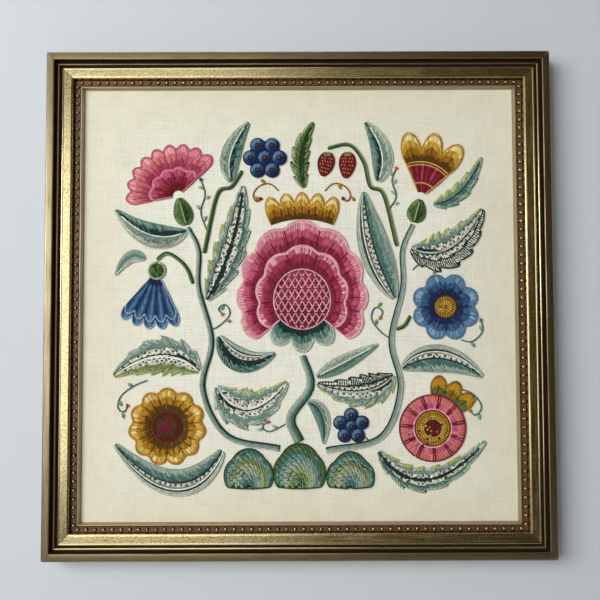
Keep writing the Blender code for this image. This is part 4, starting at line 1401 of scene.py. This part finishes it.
def add_room():
    """A room that is bright about the window, dark and warm to the right, and even overhead and behind."""
    world = bpy.data.worlds.new("room")
    world.use_nodes = True
    tree = world.node_tree
    parts = node(tree, "SeparateXYZ", {0: node(tree, "TexCoord").outputs["Generated"]}).outputs
    sideways = node(tree, "MapRange", {0: parts["X"], 1: -1.0, 2: 1.0})
    room = node(tree, "ValToRGB", {0: sideways})
    stops = room.color_ramp.elements
    stops[0].color, stops[1].color = (*ROOM_LEFT_END, 1.0), (*ROOM_RIGHT_END, 1.0)
    for position, colour in ROOM_STOPS:
        stops.new(position).color = (*colour, 1.0)
    level = node(tree, "MapRange", {0: parts["Z"], 1: -0.35, 2: 0.1, 3: 0.35, 4: 1.0})
    dimmed = node(tree, "VectorMath", {0: room, 3: level}, operation="SCALE")
    height = node(tree, "Math", {0: parts["Z"]}, operation="ABSOLUTE")
    overhead = node(tree, "MapRange", {0: height, 1: 0.5, 2: 0.65, 3: 0.0, 4: 1.0})
    ahead = node(tree, "Mix", {0: overhead, 6: dimmed, 7: (*ROOM_OVERHEAD, 1.0)}, data_type="RGBA")
    behind = node(tree, "MapRange", {0: parts["Y"], 1: 0.0, 2: 0.4, 3: 0.0, 4: 1.0})
    whole = node(tree, "Mix", {0: behind, 6: ahead, 7: (*ROOM_BEHIND, 1.0)}, data_type="RGBA")
    fill(tree, tree.nodes["Background"], {"Color": whole})
    bpy.context.scene.world = world
    bpy.context.scene.view_settings.view_transform = "Standard"


def add_stage():
    """A plain wall just behind the frame and a pale floor. The wall doesn't show from behind, and it is open
    where the panel covers it, so that daylight reaches the panel's back."""
    wall_paint = plain_paint("wall_paint", WALL_COLOUR)
    tree = wall_paint.node_tree
    facing = node(tree, "NewGeometry").outputs["Backfacing"]
    both = node(tree, "MixShader", {0: facing, 1: tree.nodes["Principled BSDF"],
                                    2: node(tree, "BsdfTransparent")})
    fill(tree, tree.nodes["Material Output"], {"Surface": both})
    middle, half = -CENTRE_BELOW_ORIGIN * MM, WALL_OPENING / 2
    square = ((-1, -1), (1, -1), (1, 1), (-1, 1))
    wall = [(x * STAGE_HALF, WALL_GAP, FLOOR_HEIGHT if z < 0 else WALL_TOP) for x, z in square]
    wall += [(x * half, WALL_GAP, middle + z * half) for x, z in square]
    around = [(0, 1, 5, 4), (1, 2, 6, 5), (2, 3, 7, 6), (3, 0, 4, 7)]
    floor = [(x * STAGE_HALF, y * STAGE_HALF, FLOOR_HEIGHT) for x, y in square]
    for name, corners, faces, material in (
            ("wall", wall, around, wall_paint),
            ("floor", floor, [(0, 1, 2, 3)], plain_paint("floor_paint", FLOOR_COLOUR))):
        mesh = bpy.data.meshes.new(name)
        mesh.from_pydata(corners, [], faces)
        mesh.materials.append(material)
        surface = link(bpy.data.objects.new(name, mesh))


def main():
    add_camera()
    add_lights()
    add_room()
    add_stage()
    finishes = moulding_finishes()
    add_rails(finishes)
    add_beads(finishes["beads"], finishes["bole"])
    add_linen()
    wools = {shade: crewel_wool(shade) for shade in WOOL}
    add_stitching(wools)
    add_tendrils(wools)


main()
